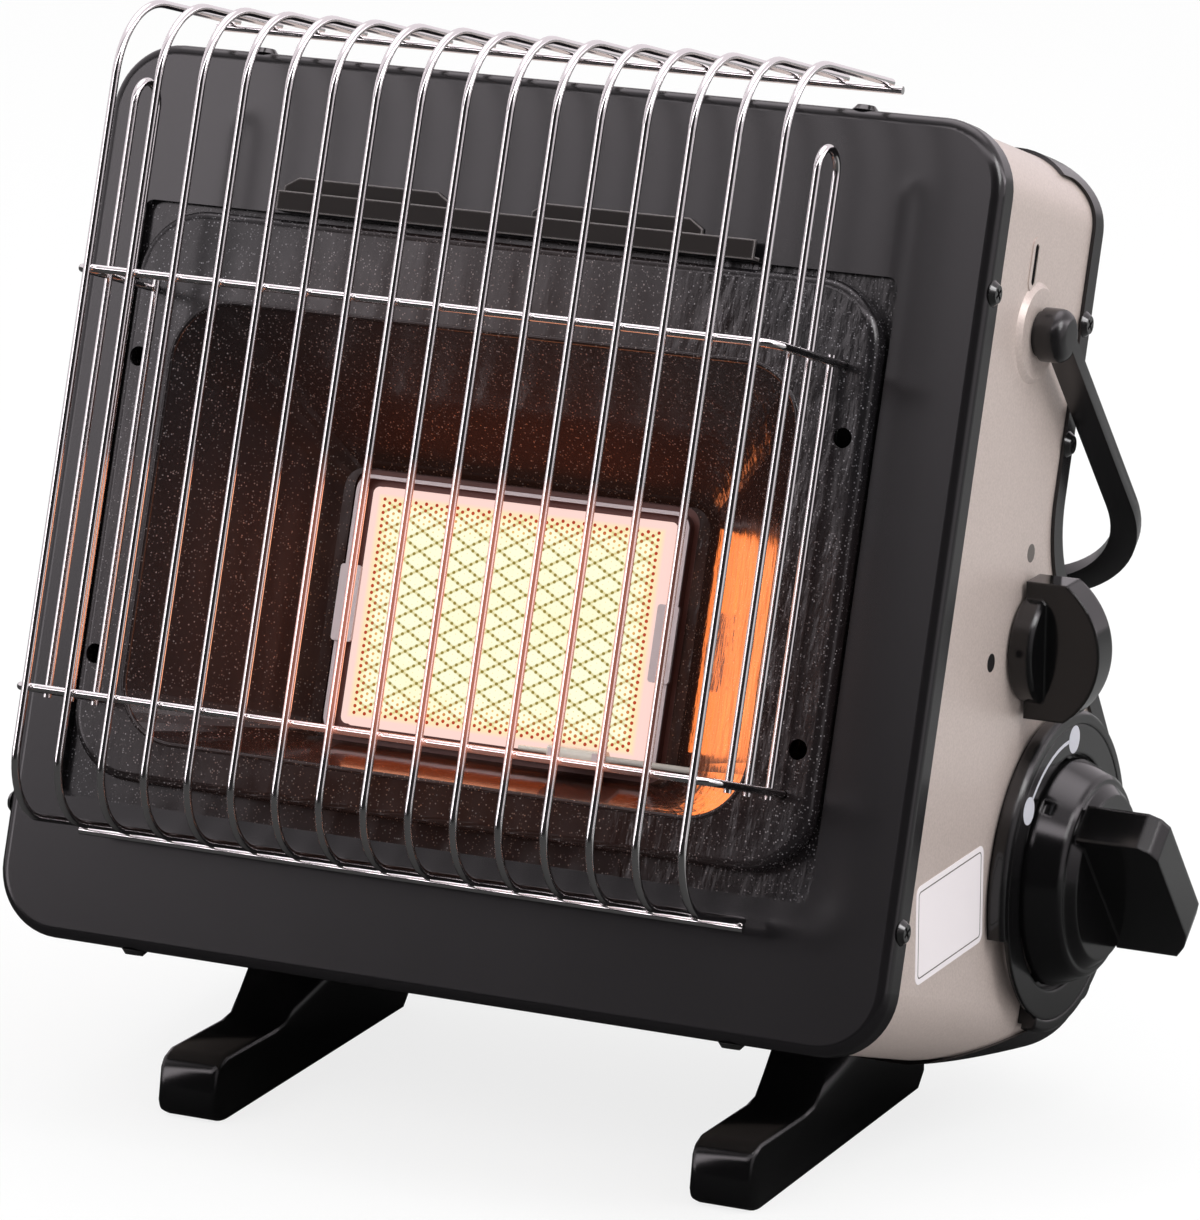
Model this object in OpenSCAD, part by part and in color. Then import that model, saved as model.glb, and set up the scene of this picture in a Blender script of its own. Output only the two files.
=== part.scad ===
// Portable cassette-gas radiant heater: a tilted steel case on two feet, with a
// ceramic plaque burner in an enamelled dish behind a wire guard, a gas knob and
// a heat mode knob on the right side, a bail handle and a cartridge door behind.
// Millimetres, Z up, front towards -Y, right side towards +X. The origin is the
// centre of the rest plane under the feet.

/* [Case] */
// width of the front panel
panel_width = 264; // [250:1:290]
// height of the front panel, measured up its face
panel_height = 246; // [240:1:270]
// radius of the panel corners
corner_radius = 19; // [14:0.5:24]
// lean of the whole case from upright
tilt = 19.2; // [14:0.2:22]
// height of the lower front edge above the rest plane
edge_height = 53; // [50:0.5:60]
// thickness of the case sheet
sheet = 1; // [0.8:0.1:1.2]
// depth of the band folded back round the front panel
band_depth = 8.5; // [7:0.5:12]
// depth of the case behind the burner
case_depth = 76; // [74:0.5:84]

/* [Opening and reflector] */
// sideways shift of the opening away from the valve side
opening_shift = -5; // [-8:0.5:-2]
// width of the panel beside the opening, before the shift
opening_side = 20; // [18:0.5:25]
// lower edge of the opening above the panel's lower edge
opening_low = 38.7; // [34:0.1:42]
// height of the opening
opening_height = 164.2; // [158:0.1:168]
// how far the enamelled plate stands out of the opening
plate_rise = 4.6; // [3:0.1:6]
// width of the dish mouth
mouth_width = 187; // [170:1:190]

/* [Burner] */
// width of the ceramic plaque
plaque_width = 90; // [80:1:92]
// height of the ceramic plaque
plaque_height = 65; // [56:1:66]
// depth of the burner face behind the panel
burner_depth = 27; // [24:0.5:30]

/* [Guard] */
// number of upright guard wires
wire_count = 16; // [12:1:18]
// thickness of the guard wire
wire_dia = 2.2; // [1.8:0.1:2.4]
// distance of the guard in front of the panel
guard_reach = 52.6; // [46:0.2:60]

/* [Knobs] */
// radius of the gas knob skirt
gas_skirt_r = 31; // [26:0.5:33]
// length of the gas knob wing, out from the case
wing_reach = 37.5; // [34:0.1:42]
// radius of the heat mode knob
mode_r = 15; // [13:0.5:17]

/* [Handle and feet] */
// reach of the handle grip from its pivots
handle_reach = 119.4; // [114:0.2:130]
// angle of the resting handle below the case depth line
handle_droop = 30.5; // [26:0.5:34]
// width of each foot
foot_width = 17.8; // [14:0.2:22]
// distance between the two feet, centre to centre
foot_spacing = 160.7; // [140:0.1:180]

/* [Hidden] */
$fn = 64;
eps = 0.5;
side_gap = 0.1;
move_gap = 0.5;
run_gap = 0.05;
half_w = panel_width / 2;
skin_x = half_w - sheet - side_gap;
inner_x = skin_x - sheet;
fold_r = 3;
lip_depth = fold_r;

// side outline of the case: depth, height pairs are measured in the case frame
drum = [104.5, 57];
drum_r = 49;
keel = [62, 0];
top_r = 15;
fillet_r = 26;
slope_a = 51.2;
rim_width = 6;
rim_top_front = case_depth - top_r - rim_width;
far = 200;
floor_v = sheet + side_gap + sheet;

// cartridge door
door_x = [-120, 76];
door_low_a = -52;
door_top_a = 82;
door_sheet = 1.2;
door_gap_a = 0.7;
hinge_in = 3.4;
hinge = drum + (drum_r - hinge_in) * [cos(door_low_a), sin(door_low_a)];
hinge_pin_r = 1.2;
knuckle_r = 2.6;
knuckle_len = 24;
ear_len = 3;

// reflector
opening_width = panel_width - 2 * opening_side;
plate_shift = opening_shift + 1;
plate_w = opening_width - 4.4;
plate_low = opening_low + 6.2;
plate_h = opening_height - 8.2;
plate_r = 19;
plate_fold = 2.5;
flange_lap = 6;
mid_v = 118.8;
plate_hole_r = 2.7;
plate_hole = [plate_w / 2 - 5.3, 40.8];
deflector_x = [-74.5, 67];
lip_out = 4.4;
lip_low = 203.2;
lip_top = 208.6;
tab_x = [-74.5, 0];
tab_w = 50;
tab_top = 212.8;
seat = 0.05;

// burner
burner_v = 101.5;
frame_w = plaque_width + 10;
frame_h = plaque_height + 6;
frame_r = 4.5;
tab = [6.2, 21];
tab_out = 0.8;
plaque_face = burner_depth + 0.6;
plaque_gap = 0.3;
window = [plaque_width, plaque_height] + 2 * plaque_gap * [1, 1];
plaque_lap = 2;
slab = window + 2 * plaque_lap * [1, 1];
slab_r = 4;
plaque_t = 7;
gasket_t = 1;

// dish behind the plate: front end at the mouth, back end round the burner
dish_back = burner_depth + 2.5;
dish_gap = 1.8;
dish_lip = 3.2;
dish_size = [[mouth_width, 121],
    [frame_w + 2 * (dish_gap + dish_lip), frame_h + 2 * dish_gap]];
dish_mid = [[plate_shift - 2.5, 116.5], [plate_shift, burner_v]];
dish_r = [17, 6];
ring = dish_size[1] + 16 * [1, 1];
ring_r = 8;
flange_d = dish_back + sheet;
plaque_d = flange_d + sheet + gasket_t;
burner_screw = [40, frame_h / 2 + 6];
tube_v = 78;
tube_r = 8;
flare_r = 11;
flare_len = 12;
tube_gap = 1.5;
tube_d = plaque_d + plaque_t + tube_gap + tube_r;
tube_end = 76;
box = slab + 2 * (sheet + 0.7) * [1, 1];
box_back = tube_d + tube_r + tube_gap;
box_depth = box_back - flange_d - sheet;
shield_x = [-110, 70];
shield_d = tube_d + flare_r;
shield_foot = 12;
shield_h = 190;

// igniter
electrode_r = 2;
lead_r = 0.9;
lead_d = 22;
lead_v = burner_v - frame_h / 2 + sheet + electrode_r;
lead_x = 112;

// valve side
mode_axis = [66, 115];
mode_turn = 18;
mode_valve_r = 11;
mode_neck_r = 7;
mode_neck_x1 = 118;
wall_x = 78;
wall_t = 1.5;
valve_r = 24;
valve_x1 = 100;
neck_r = 11;
neck_x1 = 122;
spindle_r = 3;
socket_r = 12.5;
receiver_r = 20;
receiver_t = 6;
cradle_r = 34.8;
pipe_r = 2;
pipe_x = 95;
injector_r = 5;
dial_r = 44;
dial_lip_r = 40.5;
dial_flat = 36;
dial_face = half_w + 1;
dial_out = half_w + 4.2;
knob_in = dial_face + move_gap;
knob_out = half_w + wing_reach;
wing_turn = 58;
wing_t = 11.4;
wing_half = 25.5;
wing_base = 15;
wing_corner = 5;
collar_r = 24;
collar_out = half_w + 16.5;
mode_out = half_w + 5.9;
fin_t = 9.4;
fin_half = 18.8;
fin_low = half_w + 0.2;
fin_arc_r = 23;
fin_arc_x = half_w - 1.6;

// handle
pivot = [39.6, 195.8];
strap_w = 7.6;
strap_t = 4;
strap_gap = 1.8;
strap_x = half_w + strap_gap;
strap_mid = strap_x + strap_w / 2;
stud_end = strap_x + strap_w - 1.6;
ear_r = 7.2;
ear_round = 3.5;
bend_r = 45.6;
stud_r = 3;
boss_r = 13;
boss_h = 1.4;
boss_x = skin_x + boss_h;

// guard
guard_shift = opening_shift + 0.2;
wire_r = wire_dia / 2;
weld = 0.2;
run_inset = 0.03;
run_lap = 0.3;
guard_half = plate_w / 2 - 12.4;
wire_pitch = 2 * guard_half / (wire_count - 1);
guard_low = 32.1;
guard_top = 251.3;
tail_end = [10.5, 254.7];
top_rod = [8, 252.6];
low_bend_r = 18;
top_bend_r = 22;
foot_bar = [-9.3, guard_low - wire_dia + weld];
wire_end_d = -8.2;
cross_v = [66, 178.3];
cross_d = -guard_reach + wire_dia - weld;
return_half = plate_w / 2 - 7.8;
side_half = return_half - wire_dia + weld;
leg_d = [-35.6, -23];
third_d = -9;
hook_in = 4;
hairpin_top = 231.5;

// feet and screws
foot_x = foot_spacing / 2;
head_r = 3.6;
head_t = 1.4;
head_slope = 1.2;
screw_r = 1.5;
screw_len = 8;
screw_gap = 0.15;
band_screw_d = 4.6;
side_screws = [[band_screw_d, 201.8], [band_screw_d, 35]];
band_screws_x = [-89, 89];
rear_screws_at = [[72.4, 202.4], [72.4, 170]];
foot_screw_y = [88, 118];

// ---- frames -------------------------------------------------------------
// rest-plane centre: the box centre of the whole heater lies over the origin
box_x = [-strap_x - strap_w, knob_out];
front_y = (low_bend_r - guard_reach) * cos(tilt) + (guard_low + low_bend_r) * sin(tilt)
    - low_bend_r - wire_r;
grip_a = handle_droop + tilt;
back_y = pivot[0] * cos(tilt) + pivot[1] * sin(tilt)
    + (handle_reach + strap_w / 2) * cos(grip_a) + strap_t / 2 * sin(grip_a);
box_y = [front_y, back_y];

module in_world()
    translate([-(box_x[0] + box_x[1]) / 2, -(box_y[0] + box_y[1]) / 2, 0])
        children();

// case frame: x across, y back into the case, z up its face
module in_case()
    in_world() translate([0, 0, edge_height]) rotate([-tilt, 0, 0]) children();

// a drawing of depth and height, swept along x
module along_x(x0, x1)
    translate([x0, 0, 0]) rotate([90, 0, 90]) linear_extrude(x1 - x0) children();

// a drawing of x and height, swept back from d0 to d1
module along_d(d0, d1)
    translate([0, d1, 0]) rotate([90, 0, 0]) linear_extrude(d1 - d0) children();

// a round bar along x through a depth and height point
module bar_x(p, x0, x1, r)
    translate([x0, p[0], p[1]]) rotate([0, 90, 0]) cylinder(h = x1 - x0, r = r);

// a round bar up the face
module bar_v(x, d, v0, v1, r) translate([x, d, v0]) cylinder(h = v1 - v0, r = r);

// a round bar along the depth
module bar_d(x, v, d0, d1, r)
    translate([x, d0, v]) rotate([-90, 0, 0]) cylinder(h = d1 - d0, r = r);

// ---- drawings -----------------------------------------------------------
module rounded(w, h, r) {
    square([w - 2 * r, h], center = true);
    square([w, h - 2 * r], center = true);
    for (sx = [-1, 1]) for (sy = [-1, 1])
        translate([sx * (w / 2 - r), sy * (h / 2 - r)]) circle(r);
}

function ray(a) = [cos(a), sin(a)];

// side outline of the case, drawn in by k at the back, kb below and kt at the top
module side_outline(k, kb, kt) {
    r = drum_r - k;
    back = case_depth - k;
    top = panel_height - kt;
    u = ray(slope_a);
    corner_v = drum[1] + (r - u[0] * (back - drum[0])) / u[1];
    fr = fillet_r + k;
    bite = fr * tan((90 - slope_a) / 2 + (slope_a * 2 - 90) / 2);
    start = [back, corner_v + bite];
    finish = [back, corner_v] + bite * [u[1], -u[0]];
    low = [keel[0], kb];
    to_drum = drum - low;
    low_a = atan2(to_drum[1], to_drum[0]) - asin(r / norm(to_drum)) - 90;
    difference() {
        polygon([[-far, kb], low, drum + r * ray(low_a), drum, drum + r * u, finish,
            [back + fr, start[1]], start, [back, top - top_r + k],
            [back - top_r + k, top - top_r + k], [back - top_r + k, top], [-far, top]]);
        translate([back + fr, start[1]]) circle(fr);
    }
    translate(drum) circle(r);
    translate([back - top_r + k, top - top_r + k]) circle(top_r - k);
}

module door_wedge(trim_a) {
    a0 = door_low_a + trim_a;
    a1 = door_top_a - trim_a;
    polygon([drum, drum + far * ray(a0), drum + far * ray((a0 + a1) / 2),
        drum + far * ray(a1)]);
}

// ---- pressed trays ------------------------------------------------------
module tray_section(r, depth, fold, t) {
    translate([r - t, fold]) square([t, depth - fold]);
    square([r - fold, t]);
    translate([r - fold, fold]) intersection() {
        difference() {
            circle(fold);
            circle(fold - t);
        }
        translate([0, -fold]) square(fold);
    }
}

// a shallow tray: face towards -y at y = 0, band folded back to y = depth
module tray(w, h, r, depth, fold, t) rotate([-90, 0, 0]) {
    linear_extrude(t) square([w - 2 * r, h - 2 * r], center = true);
    for (turn = [0, 180]) rotate(turn) {
        translate([w / 2 - r, h / 2 - r, 0]) rotate([90, 0, 0])
            linear_extrude(h - 2 * r) tray_section(r, depth, fold, t);
        translate([-w / 2 + r, h / 2 - r, 0]) rotate([90, 0, 90])
            linear_extrude(w - 2 * r) tray_section(r, depth, fold, t);
        translate([w / 2 - r, h / 2 - r, 0])
            rotate_extrude(angle = 90) tray_section(r, depth, fold, t);
        translate([-w / 2 + r, h / 2 - r, 0]) rotate(90)
            rotate_extrude(angle = 90) tray_section(r, depth, fold, t);
    }
}

// ---- bent wire ----------------------------------------------------------
function unit(v) = v / norm(v);
function turn_of(a, b, c) = acos(unit(b - a) * unit(c - b));
function trim_of(a, b, c, br) = br * tan(turn_of(a, b, c) / 2);

// a straight run, a hair thinner than the bends so that it seats inside them
module wire_run(a, b, r, grow_a, grow_b) {
    u = unit(b - a);
    start = a - u * grow_a;
    translate([start[0], start[1], 0]) rotate(atan2(u[1], u[0]))
        rotate([0, 90, 0])
            cylinder(h = norm(b - a) + grow_a + grow_b, r = r - run_inset, $fn = 24);
}

module wire_corner(a, b, c, br, r) {
    u = unit(b - a);
    w = unit(c - b);
    side = u[0] * w[1] - u[1] * w[0] > 0 ? 1 : -1;
    cut = trim_of(a, b, c, br);
    mid = b - u * cut + side * br * [-u[1], u[0]];
    from = side > 0 ? b - u * cut - mid : b + w * cut - mid;
    translate(mid) rotate(atan2(from[1], from[0]))
        rotate_extrude(angle = turn_of(a, b, c), $fn = 96)
            translate([br, 0]) circle(r, $fn = 24);
}

// a wire in the xy plane through the points, with one bend radius per corner
module bent_wire(p, br, r) {
    last = len(p) - 1;
    for (i = [0 : last - 1]) {
        u = unit(p[i + 1] - p[i]);
        c0 = i == 0 ? 0 : trim_of(p[i - 1], p[i], p[i + 1], br[i - 1]);
        c1 = i == last - 1 ? 0 : trim_of(p[i], p[i + 1], p[i + 2], br[i]);
        wire_run(p[i] + u * c0, p[i + 1] - u * c1, r, i == 0 ? 0 : run_lap,
            i == last - 1 ? 0 : run_lap);
    }
    for (i = [1 : last - 1]) wire_corner(p[i - 1], p[i], p[i + 1], br[i - 1], r);
}

// ---- case ---------------------------------------------------------------
module opening_drawing(grow)
    translate([opening_shift, opening_low + opening_height / 2])
        rounded(opening_width + 2 * grow, opening_height + 2 * grow, 3 + grow);

module side_holes(points, r)
    for (p = points) bar_x(p, -half_w - eps, half_w + eps, r);

module band_holes(r) for (x = band_screws_x) {
    bar_v(x, band_screw_d, panel_height - screw_len, panel_height + eps, r);
    bar_v(x, band_screw_d, -eps, screw_len, r);
}

module front_panel() color("#2a2a2c") in_case() {
    difference() {
        union() {
            translate([0, 0, panel_height / 2])
                tray(panel_width, panel_height, corner_radius, band_depth, fold_r, sheet);
            along_d(eps, lip_depth) opening_drawing(sheet);
        }
        along_d(-eps, lip_depth + eps) opening_drawing(0);
        side_holes(side_screws, screw_r + screw_gap);
        band_holes(screw_r + screw_gap);
    }
}

module case_tube(x, t, d0, d1)
    translate([0, 0, panel_height / 2]) along_d(d0, d1) difference() {
        rounded(2 * x, panel_height - 2 * (half_w - x), corner_radius - (half_w - x));
        rounded(2 * (x - t), panel_height - 2 * (half_w - x + t),
            corner_radius - (half_w - x + t));
    }

module housing() color("#b9a98c") in_case() {
    difference() {
        union() {
            intersection() {
                case_tube(skin_x, sheet, fold_r, far);
                along_x(-far, far) side_outline(2.2, sheet + side_gap, sheet + side_gap);
            }
            // round boss under each handle pivot
            for (sx = [0, 1]) mirror([sx, 0, 0])
                translate([skin_x - sheet / 2, pivot[0], pivot[1]]) rotate([0, 90, 0])
                    cylinder(h = sheet / 2 + boss_h, r1 = boss_r + 1, r2 = boss_r - 1);
        }
        side_holes(side_screws, screw_r + screw_gap);
        band_holes(screw_r + screw_gap);
        side_holes(rear_screws_at, screw_r + screw_gap);
        side_holes([pivot], stud_r + screw_gap);
        bar_x(drum, 0, far, 5);
        bar_x(mode_axis, 0, far, 5);
        // narrow vent slot high on each side
        along_x(-far, far) translate([32.4, 213.1]) rounded(2.6, 11, 1.29);
    }
}

module rear_cover() color("#222224") in_case() {
    difference() {
        intersection() {
            translate([0, 0, panel_height / 2]) along_d(20, far)
                rounded(panel_width, panel_height, corner_radius);
            along_x(-far, far) side_outline(0, 0, 0);
        }
        intersection() {
            translate([0, 0, panel_height / 2]) along_d(10, far)
                rounded(panel_width - 2 * sheet, panel_height - 2 * sheet,
                    corner_radius - sheet);
            along_x(-far, far) side_outline(sheet, sheet, sheet);
        }
        along_x(-far, far) {
            side_outline(rim_width, 0, rim_width);
            translate([-far, 0]) square([far + rim_top_front, panel_height + eps]);
        }
        // doorway, with room for the hinge to turn
        along_x(door_x[0], door_x[1]) {
            intersection() {
                door_wedge(0);
                difference() {
                    side_outline(-eps, -eps, -eps);
                    translate(drum) circle(drum_r - 6);
                }
            }
            translate(hinge) circle(knuckle_r + 2);
        }
        // vent slots above the doorway
        for (row = [0, 1]) for (i = [-7 : 7])
            translate([i * 14, case_depth, 181 + 28 * row]) along_d(-sheet - eps, eps)
                rounded(4, 20, 1.99);
        side_holes(rear_screws_at, screw_r + screw_gap);
        for (sx = [-1, 1]) foot_screw_bars(sx, screw_r + screw_gap, 0);
    }
    // ears for the hinge pin
    for (x = [door_x[0] - ear_len, door_x[1]]) difference() {
        bar_x(hinge, x, x + ear_len, knuckle_r + 0.4);
        bar_x(hinge, x - eps, x + ear_len + eps, hinge_pin_r + run_gap);
    }
}

// upright bars at the foot screws, in the case frame
module foot_screw_bars(side, r, z0)
    rotate([tilt, 0, 0]) translate([0, 0, -edge_height])
        for (y = foot_screw_y)
            translate([side * foot_x, y, z0]) cylinder(h = 40 - z0, r = r);

// ---- reflector ----------------------------------------------------------
module dish_form(k) hull() {
    for (end = [0, 1]) {
        size = dish_size[end] + 2 * k * [1, 1];
        d = end == 0 ? -plate_rise - eps * (k == 0 ? 1 : 0) : dish_back;
        translate([dish_mid[end][0], d, dish_mid[end][1]])
            along_d(0, 0.01) rounded(size[0], size[1], dish_r[end] + k, $fn = 32);
    }
}

module reflector() color("#39373a") in_case() {
    difference() {
        union() {
            translate([plate_shift, -plate_rise, plate_low + plate_h / 2])
                tray(plate_w, plate_h, plate_r, plate_rise + lip_depth + sheet,
                    plate_fold, sheet);
            along_d(lip_depth, lip_depth + sheet) difference() {
                opening_drawing(flange_lap);
                translate([plate_shift, plate_low + plate_h / 2])
                    rounded(plate_w - sheet, plate_h - sheet, plate_r - sheet / 2);
            }
            dish_form(sheet);
            along_d(dish_back, flange_d) translate(dish_mid[1])
                rounded(ring[0], ring[1], ring_r);
        }
        dish_form(0);
        // cut-out for the burner, with a narrow lip left on both sides
        along_d(dish_back - eps, flange_d + eps) translate(dish_mid[1])
            rounded(dish_size[1][0] - 2 * dish_lip, dish_size[1][1] - 0.1, 5);
        for (sx = [-1, 1]) for (sv = [-1, 1])
            bar_d(opening_shift + sx * plate_hole[0], mid_v + sv * plate_hole[1],
                -plate_rise - eps, 0, plate_hole_r);
        for (sx = [-1, 1]) for (v = cross_v)
            bar_d(guard_shift + sx * return_half, v, -plate_rise - eps, 0,
                wire_r + 0.15);
        burner_screw_bars(screw_r + screw_gap);
        bar_x([lead_d, lead_v], 40, 100, electrode_r);
    }
}

module deflector() color("#3c3a3b") in_case() {
    // forward channel over the top edge of the opening
    along_x(deflector_x[0], deflector_x[1]) polygon([[-seat, lip_low], [-lip_out, lip_low],
        [-lip_out, lip_top], [sheet - lip_out, lip_top], [sheet - lip_out, lip_low + sheet],
        [-seat, lip_low + sheet]]);
    // two tabs that lie on the panel
    for (x = tab_x) along_d(-sheet - seat, -seat)
        polygon([[x, lip_low + seat], [x + tab_w, lip_low + seat], [x + tab_w, tab_top - 2.5],
            [x + tab_w - 4, tab_top], [x + 4, tab_top], [x, tab_top - 2.5]]);
}

// ---- burner -------------------------------------------------------------
module burner_screw_bars(r)
    for (sx = [-1, 1]) for (sv = [-1, 1])
        bar_d(plate_shift + sx * burner_screw[0], burner_v + sv * burner_screw[1],
            dish_back - 1, flange_d + 4, r);

module burner_frame() color("#8d8580") in_case() {
    difference() {
        translate([plate_shift, 0, burner_v]) {
            // thin upstanding rim round the sunk plate
            along_d(burner_depth, flange_d) difference() {
                rounded(frame_w, frame_h, frame_r);
                rounded(frame_w - 2 * sheet, frame_h - 2 * sheet, frame_r - sheet);
            }
            along_d(flange_d, flange_d + sheet) difference() {
                rounded(ring[0], ring[1], ring_r);
                rounded(window[0], window[1], 2);
            }
        }
        burner_screw_bars(screw_r + screw_gap);
    }
    // tabs bent in over the edges of the plaque
    for (sx = [-1, 1])
        translate([plate_shift + sx * (frame_w / 2 + tab_out - tab[0] / 2), 0, burner_v])
            along_d(burner_depth - sheet, burner_depth) rounded(tab[0], tab[1], 0.9);
}

module ceramic_plaque() color("#e8c79a") in_case() translate([plate_shift, 0, burner_v]) {
    along_d(plaque_face, plaque_d) rounded(plaque_width, plaque_height, 1.9);
    along_d(plaque_d, plaque_d + plaque_t) rounded(slab[0], slab[1], slab_r);
}

module plaque_gasket() color("#d8d2c4") in_case()
    along_d(flange_d + sheet, plaque_d) translate([plate_shift, burner_v]) difference() {
        rounded(slab[0], slab[1], slab_r);
        rounded(window[0] + 0.6, window[1] + 0.6, 2.2);
    }

module burner_box() color("#a8a49c") in_case() {
    difference() {
        translate([plate_shift, box_back, burner_v]) mirror([0, 1, 0])
            tray(box[0], box[1], slab_r + sheet, box_depth, 3, sheet);
        bar_x([tube_d, tube_v], 0, far, tube_r + side_gap);
    }
    // clips that hold the plaque against its gasket
    for (sx = [-1, 1]) for (sv = [-1, 1])
        translate([plate_shift + sx * 30 - 4, plaque_d + plaque_t,
            burner_v + sv * (slab[1] / 2 - 4.8) - 2])
            cube([8, box_back - sheet - plaque_d - plaque_t + 0.2, 4]);
}

module mixing_tube() color("#b3afa6") in_case() {
    x0 = plate_shift + frame_w / 2 - 10;
    translate([0, tube_d, tube_v]) rotate([0, 90, 0]) rotate_extrude() difference() {
        polygon([[0, x0], [tube_r, x0], [tube_r, tube_end - flare_len], [flare_r, tube_end],
            [0, tube_end]]);
        polygon([[0, x0 - 1], [tube_r - sheet, x0 - 1],
            [tube_r - sheet, tube_end - flare_len], [flare_r - sheet, tube_end],
            [flare_r - sheet, tube_end + 1], [0, tube_end + 1]]);
    }
}

module injector() color("#b08d4c") in_case() difference() {
    union() {
        bar_x([tube_d, tube_v], wall_x + wall_t, wall_x + 8, injector_r + 1.5);
        bar_x([tube_d, tube_v], wall_x - 4, wall_x + wall_t, injector_r);
        bar_x([tube_d, tube_v], wall_x - 10, wall_x - 4, 2.5);
    }
    bar_x([tube_d, tube_v], wall_x - 12, wall_x + 3, 0.8);
}

module gas_pipe() color("#b87d4b") in_case() translate([0, 0, tube_v]) {
    bent_wire([[wall_x + 8, tube_d], [pipe_x, tube_d], [pipe_x, 90]], [7], pipe_r);
    // branch up to the heat mode valve
    translate([pipe_x, mode_axis[0], 0])
        cylinder(h = mode_axis[1] - mode_valve_r - tube_v - side_gap, r = pipe_r - 0.1);
}

module electrode_bracket() color("#9b968e") in_case() {
    translate([16, lead_d - 5, lead_v - electrode_r - sheet])
        cube([20, burner_depth - lead_d + 5, sheet]);
    for (x = [18, 31]) translate([x, lead_d - 3.2, lead_v - electrode_r])
        cube([2, sheet, 3]);
}

module electrode() color("#e9e5da") in_case() {
    bar_x([lead_d, lead_v], 17, 34, electrode_r);
    bar_x([lead_d, lead_v], 8, 17, 0.7);
}

module igniter_lead() color("#d8d4cc") in_case() translate([0, 0, lead_v])
    bent_wire([[lead_x, mode_axis[0]], [lead_x, lead_d], [34, lead_d]], [8], lead_r);

// ---- gas side -----------------------------------------------------------
module valve_bracket() color("#9a9a98") in_case() {
    difference() {
        along_x(wall_x, wall_x + wall_t) difference() {
            intersection() {
                side_outline(4.5, floor_v, 4.5);
                translate([36, 0]) square([140, 132]);
            }
            translate([30, 20]) square([30, 44]);
        }
        bar_x([tube_d, tube_v], 0, far, injector_r + side_gap);
        bar_x(drum, 0, far, 6);
        bar_x(hinge, 0, far, knuckle_r + 2);
        foot_screw_bars(1, head_r, 0);
    }
    translate([wall_x, 40, floor_v]) cube([12, 20, wall_t]);
}

module valve_body() color("#8f9092") in_case() difference() {
    union() {
        bar_x(drum, wall_x + wall_t, valve_x1, valve_r);
        bar_x(drum, valve_x1, neck_x1, neck_r);
        bar_d(pipe_x, tube_v, 90, drum[0] - 2, 4);
    }
    bar_x(drum, neck_x1 - 12, neck_x1 + eps, spindle_r + run_gap);
}

module cartridge_receiver() color("#a9863f") in_case() difference() {
    union() {
        bar_x(drum, wall_x - receiver_t, wall_x, receiver_r);
        bar_x(drum, wall_x, wall_x + wall_t, 5.9);
    }
    bar_x(drum, wall_x - receiver_t - eps, wall_x - 1, socket_r);
    bar_x(drum, wall_x - 2, wall_x + wall_t + eps, 1.5);
}

module cartridge_cradle() color("#8c8c8a") in_case() {
    cradle_x0 = move_gap - inner_x;
    along_x(cradle_x0, wall_x) arc_strip(cradle_r, cradle_r + sheet);
    along_x(cradle_x0, cradle_x0 + sheet) arc_strip(cradle_r, cradle_r + 5);
    along_x(wall_x - sheet, wall_x) arc_strip(cradle_r, cradle_r + 5);
}

// a strip of ring round the front and underside of the cartridge
module arc_strip(r0, r1) intersection() {
    translate(drum) difference() {
        circle(r1);
        circle(r0);
    }
    polygon([drum, drum + far * ray(115), drum + far * ray(160), drum + far * ray(205),
        drum + far * ray(250), drum + far * ray(280)]);
}

module heat_shield() color("#b7b5b0") in_case() {
    shield_w = shield_x[1] - shield_x[0];
    translate([shield_x[0], shield_d, floor_v]) cube([shield_w, sheet, shield_h]);
    translate([shield_x[0], shield_d - shield_foot, floor_v])
        cube([shield_w, shield_foot, sheet]);
}

module piezo_igniter() color("#2b2b2e") in_case()
    translate([106, 66, 68]) cube([inner_x - 106, 14, 24]);

module mode_valve() color("#a9863f") in_case() difference() {
    union() {
        bar_x(mode_axis, wall_x + wall_t, valve_x1, mode_valve_r);
        bar_x(mode_axis, valve_x1, mode_neck_x1, mode_neck_r);
    }
    bar_x(mode_axis, mode_neck_x1 - 12, mode_neck_x1 + eps, spindle_r + run_gap);
}

module mode_spindle() color("#b08d4c") in_case()
    bar_x(mode_axis, mode_neck_x1 - 11, mode_out - 1.2, spindle_r);

module valve_spindle() color("#b08d4c") in_case()
    bar_x(drum, neck_x1 - 11, collar_out - 2.3, spindle_r);

// ---- controls -----------------------------------------------------------
module dial_plate() color("#1d1d1f") in_case() difference() {
    union() {
        bar_x(drum, skin_x, half_w + side_gap, drum_r - rim_width - 0.4);
        bar_x(drum, half_w + side_gap, dial_out - 1, dial_r);
        translate([dial_out - 1, drum[0], drum[1]]) rotate([0, 90, 0])
            cylinder(h = 1, r1 = dial_r, r2 = dial_r - 1);
        along_x(half_w + side_gap, dial_out - 1)
            translate([drum[0] + 14, 38]) rounded(40, 30, 6);
    }
    along_x(skin_x - eps, dial_out + eps) square([drum[0] - 6, dial_flat]);
    // raised rim round the dial face, and a sunk seat for the knob
    bar_x(drum, dial_face + 2, far, dial_lip_r);
    bar_x(drum, dial_face, far, gas_skirt_r + 1);
    bar_x(drum, 0, far, 5);
}

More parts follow.
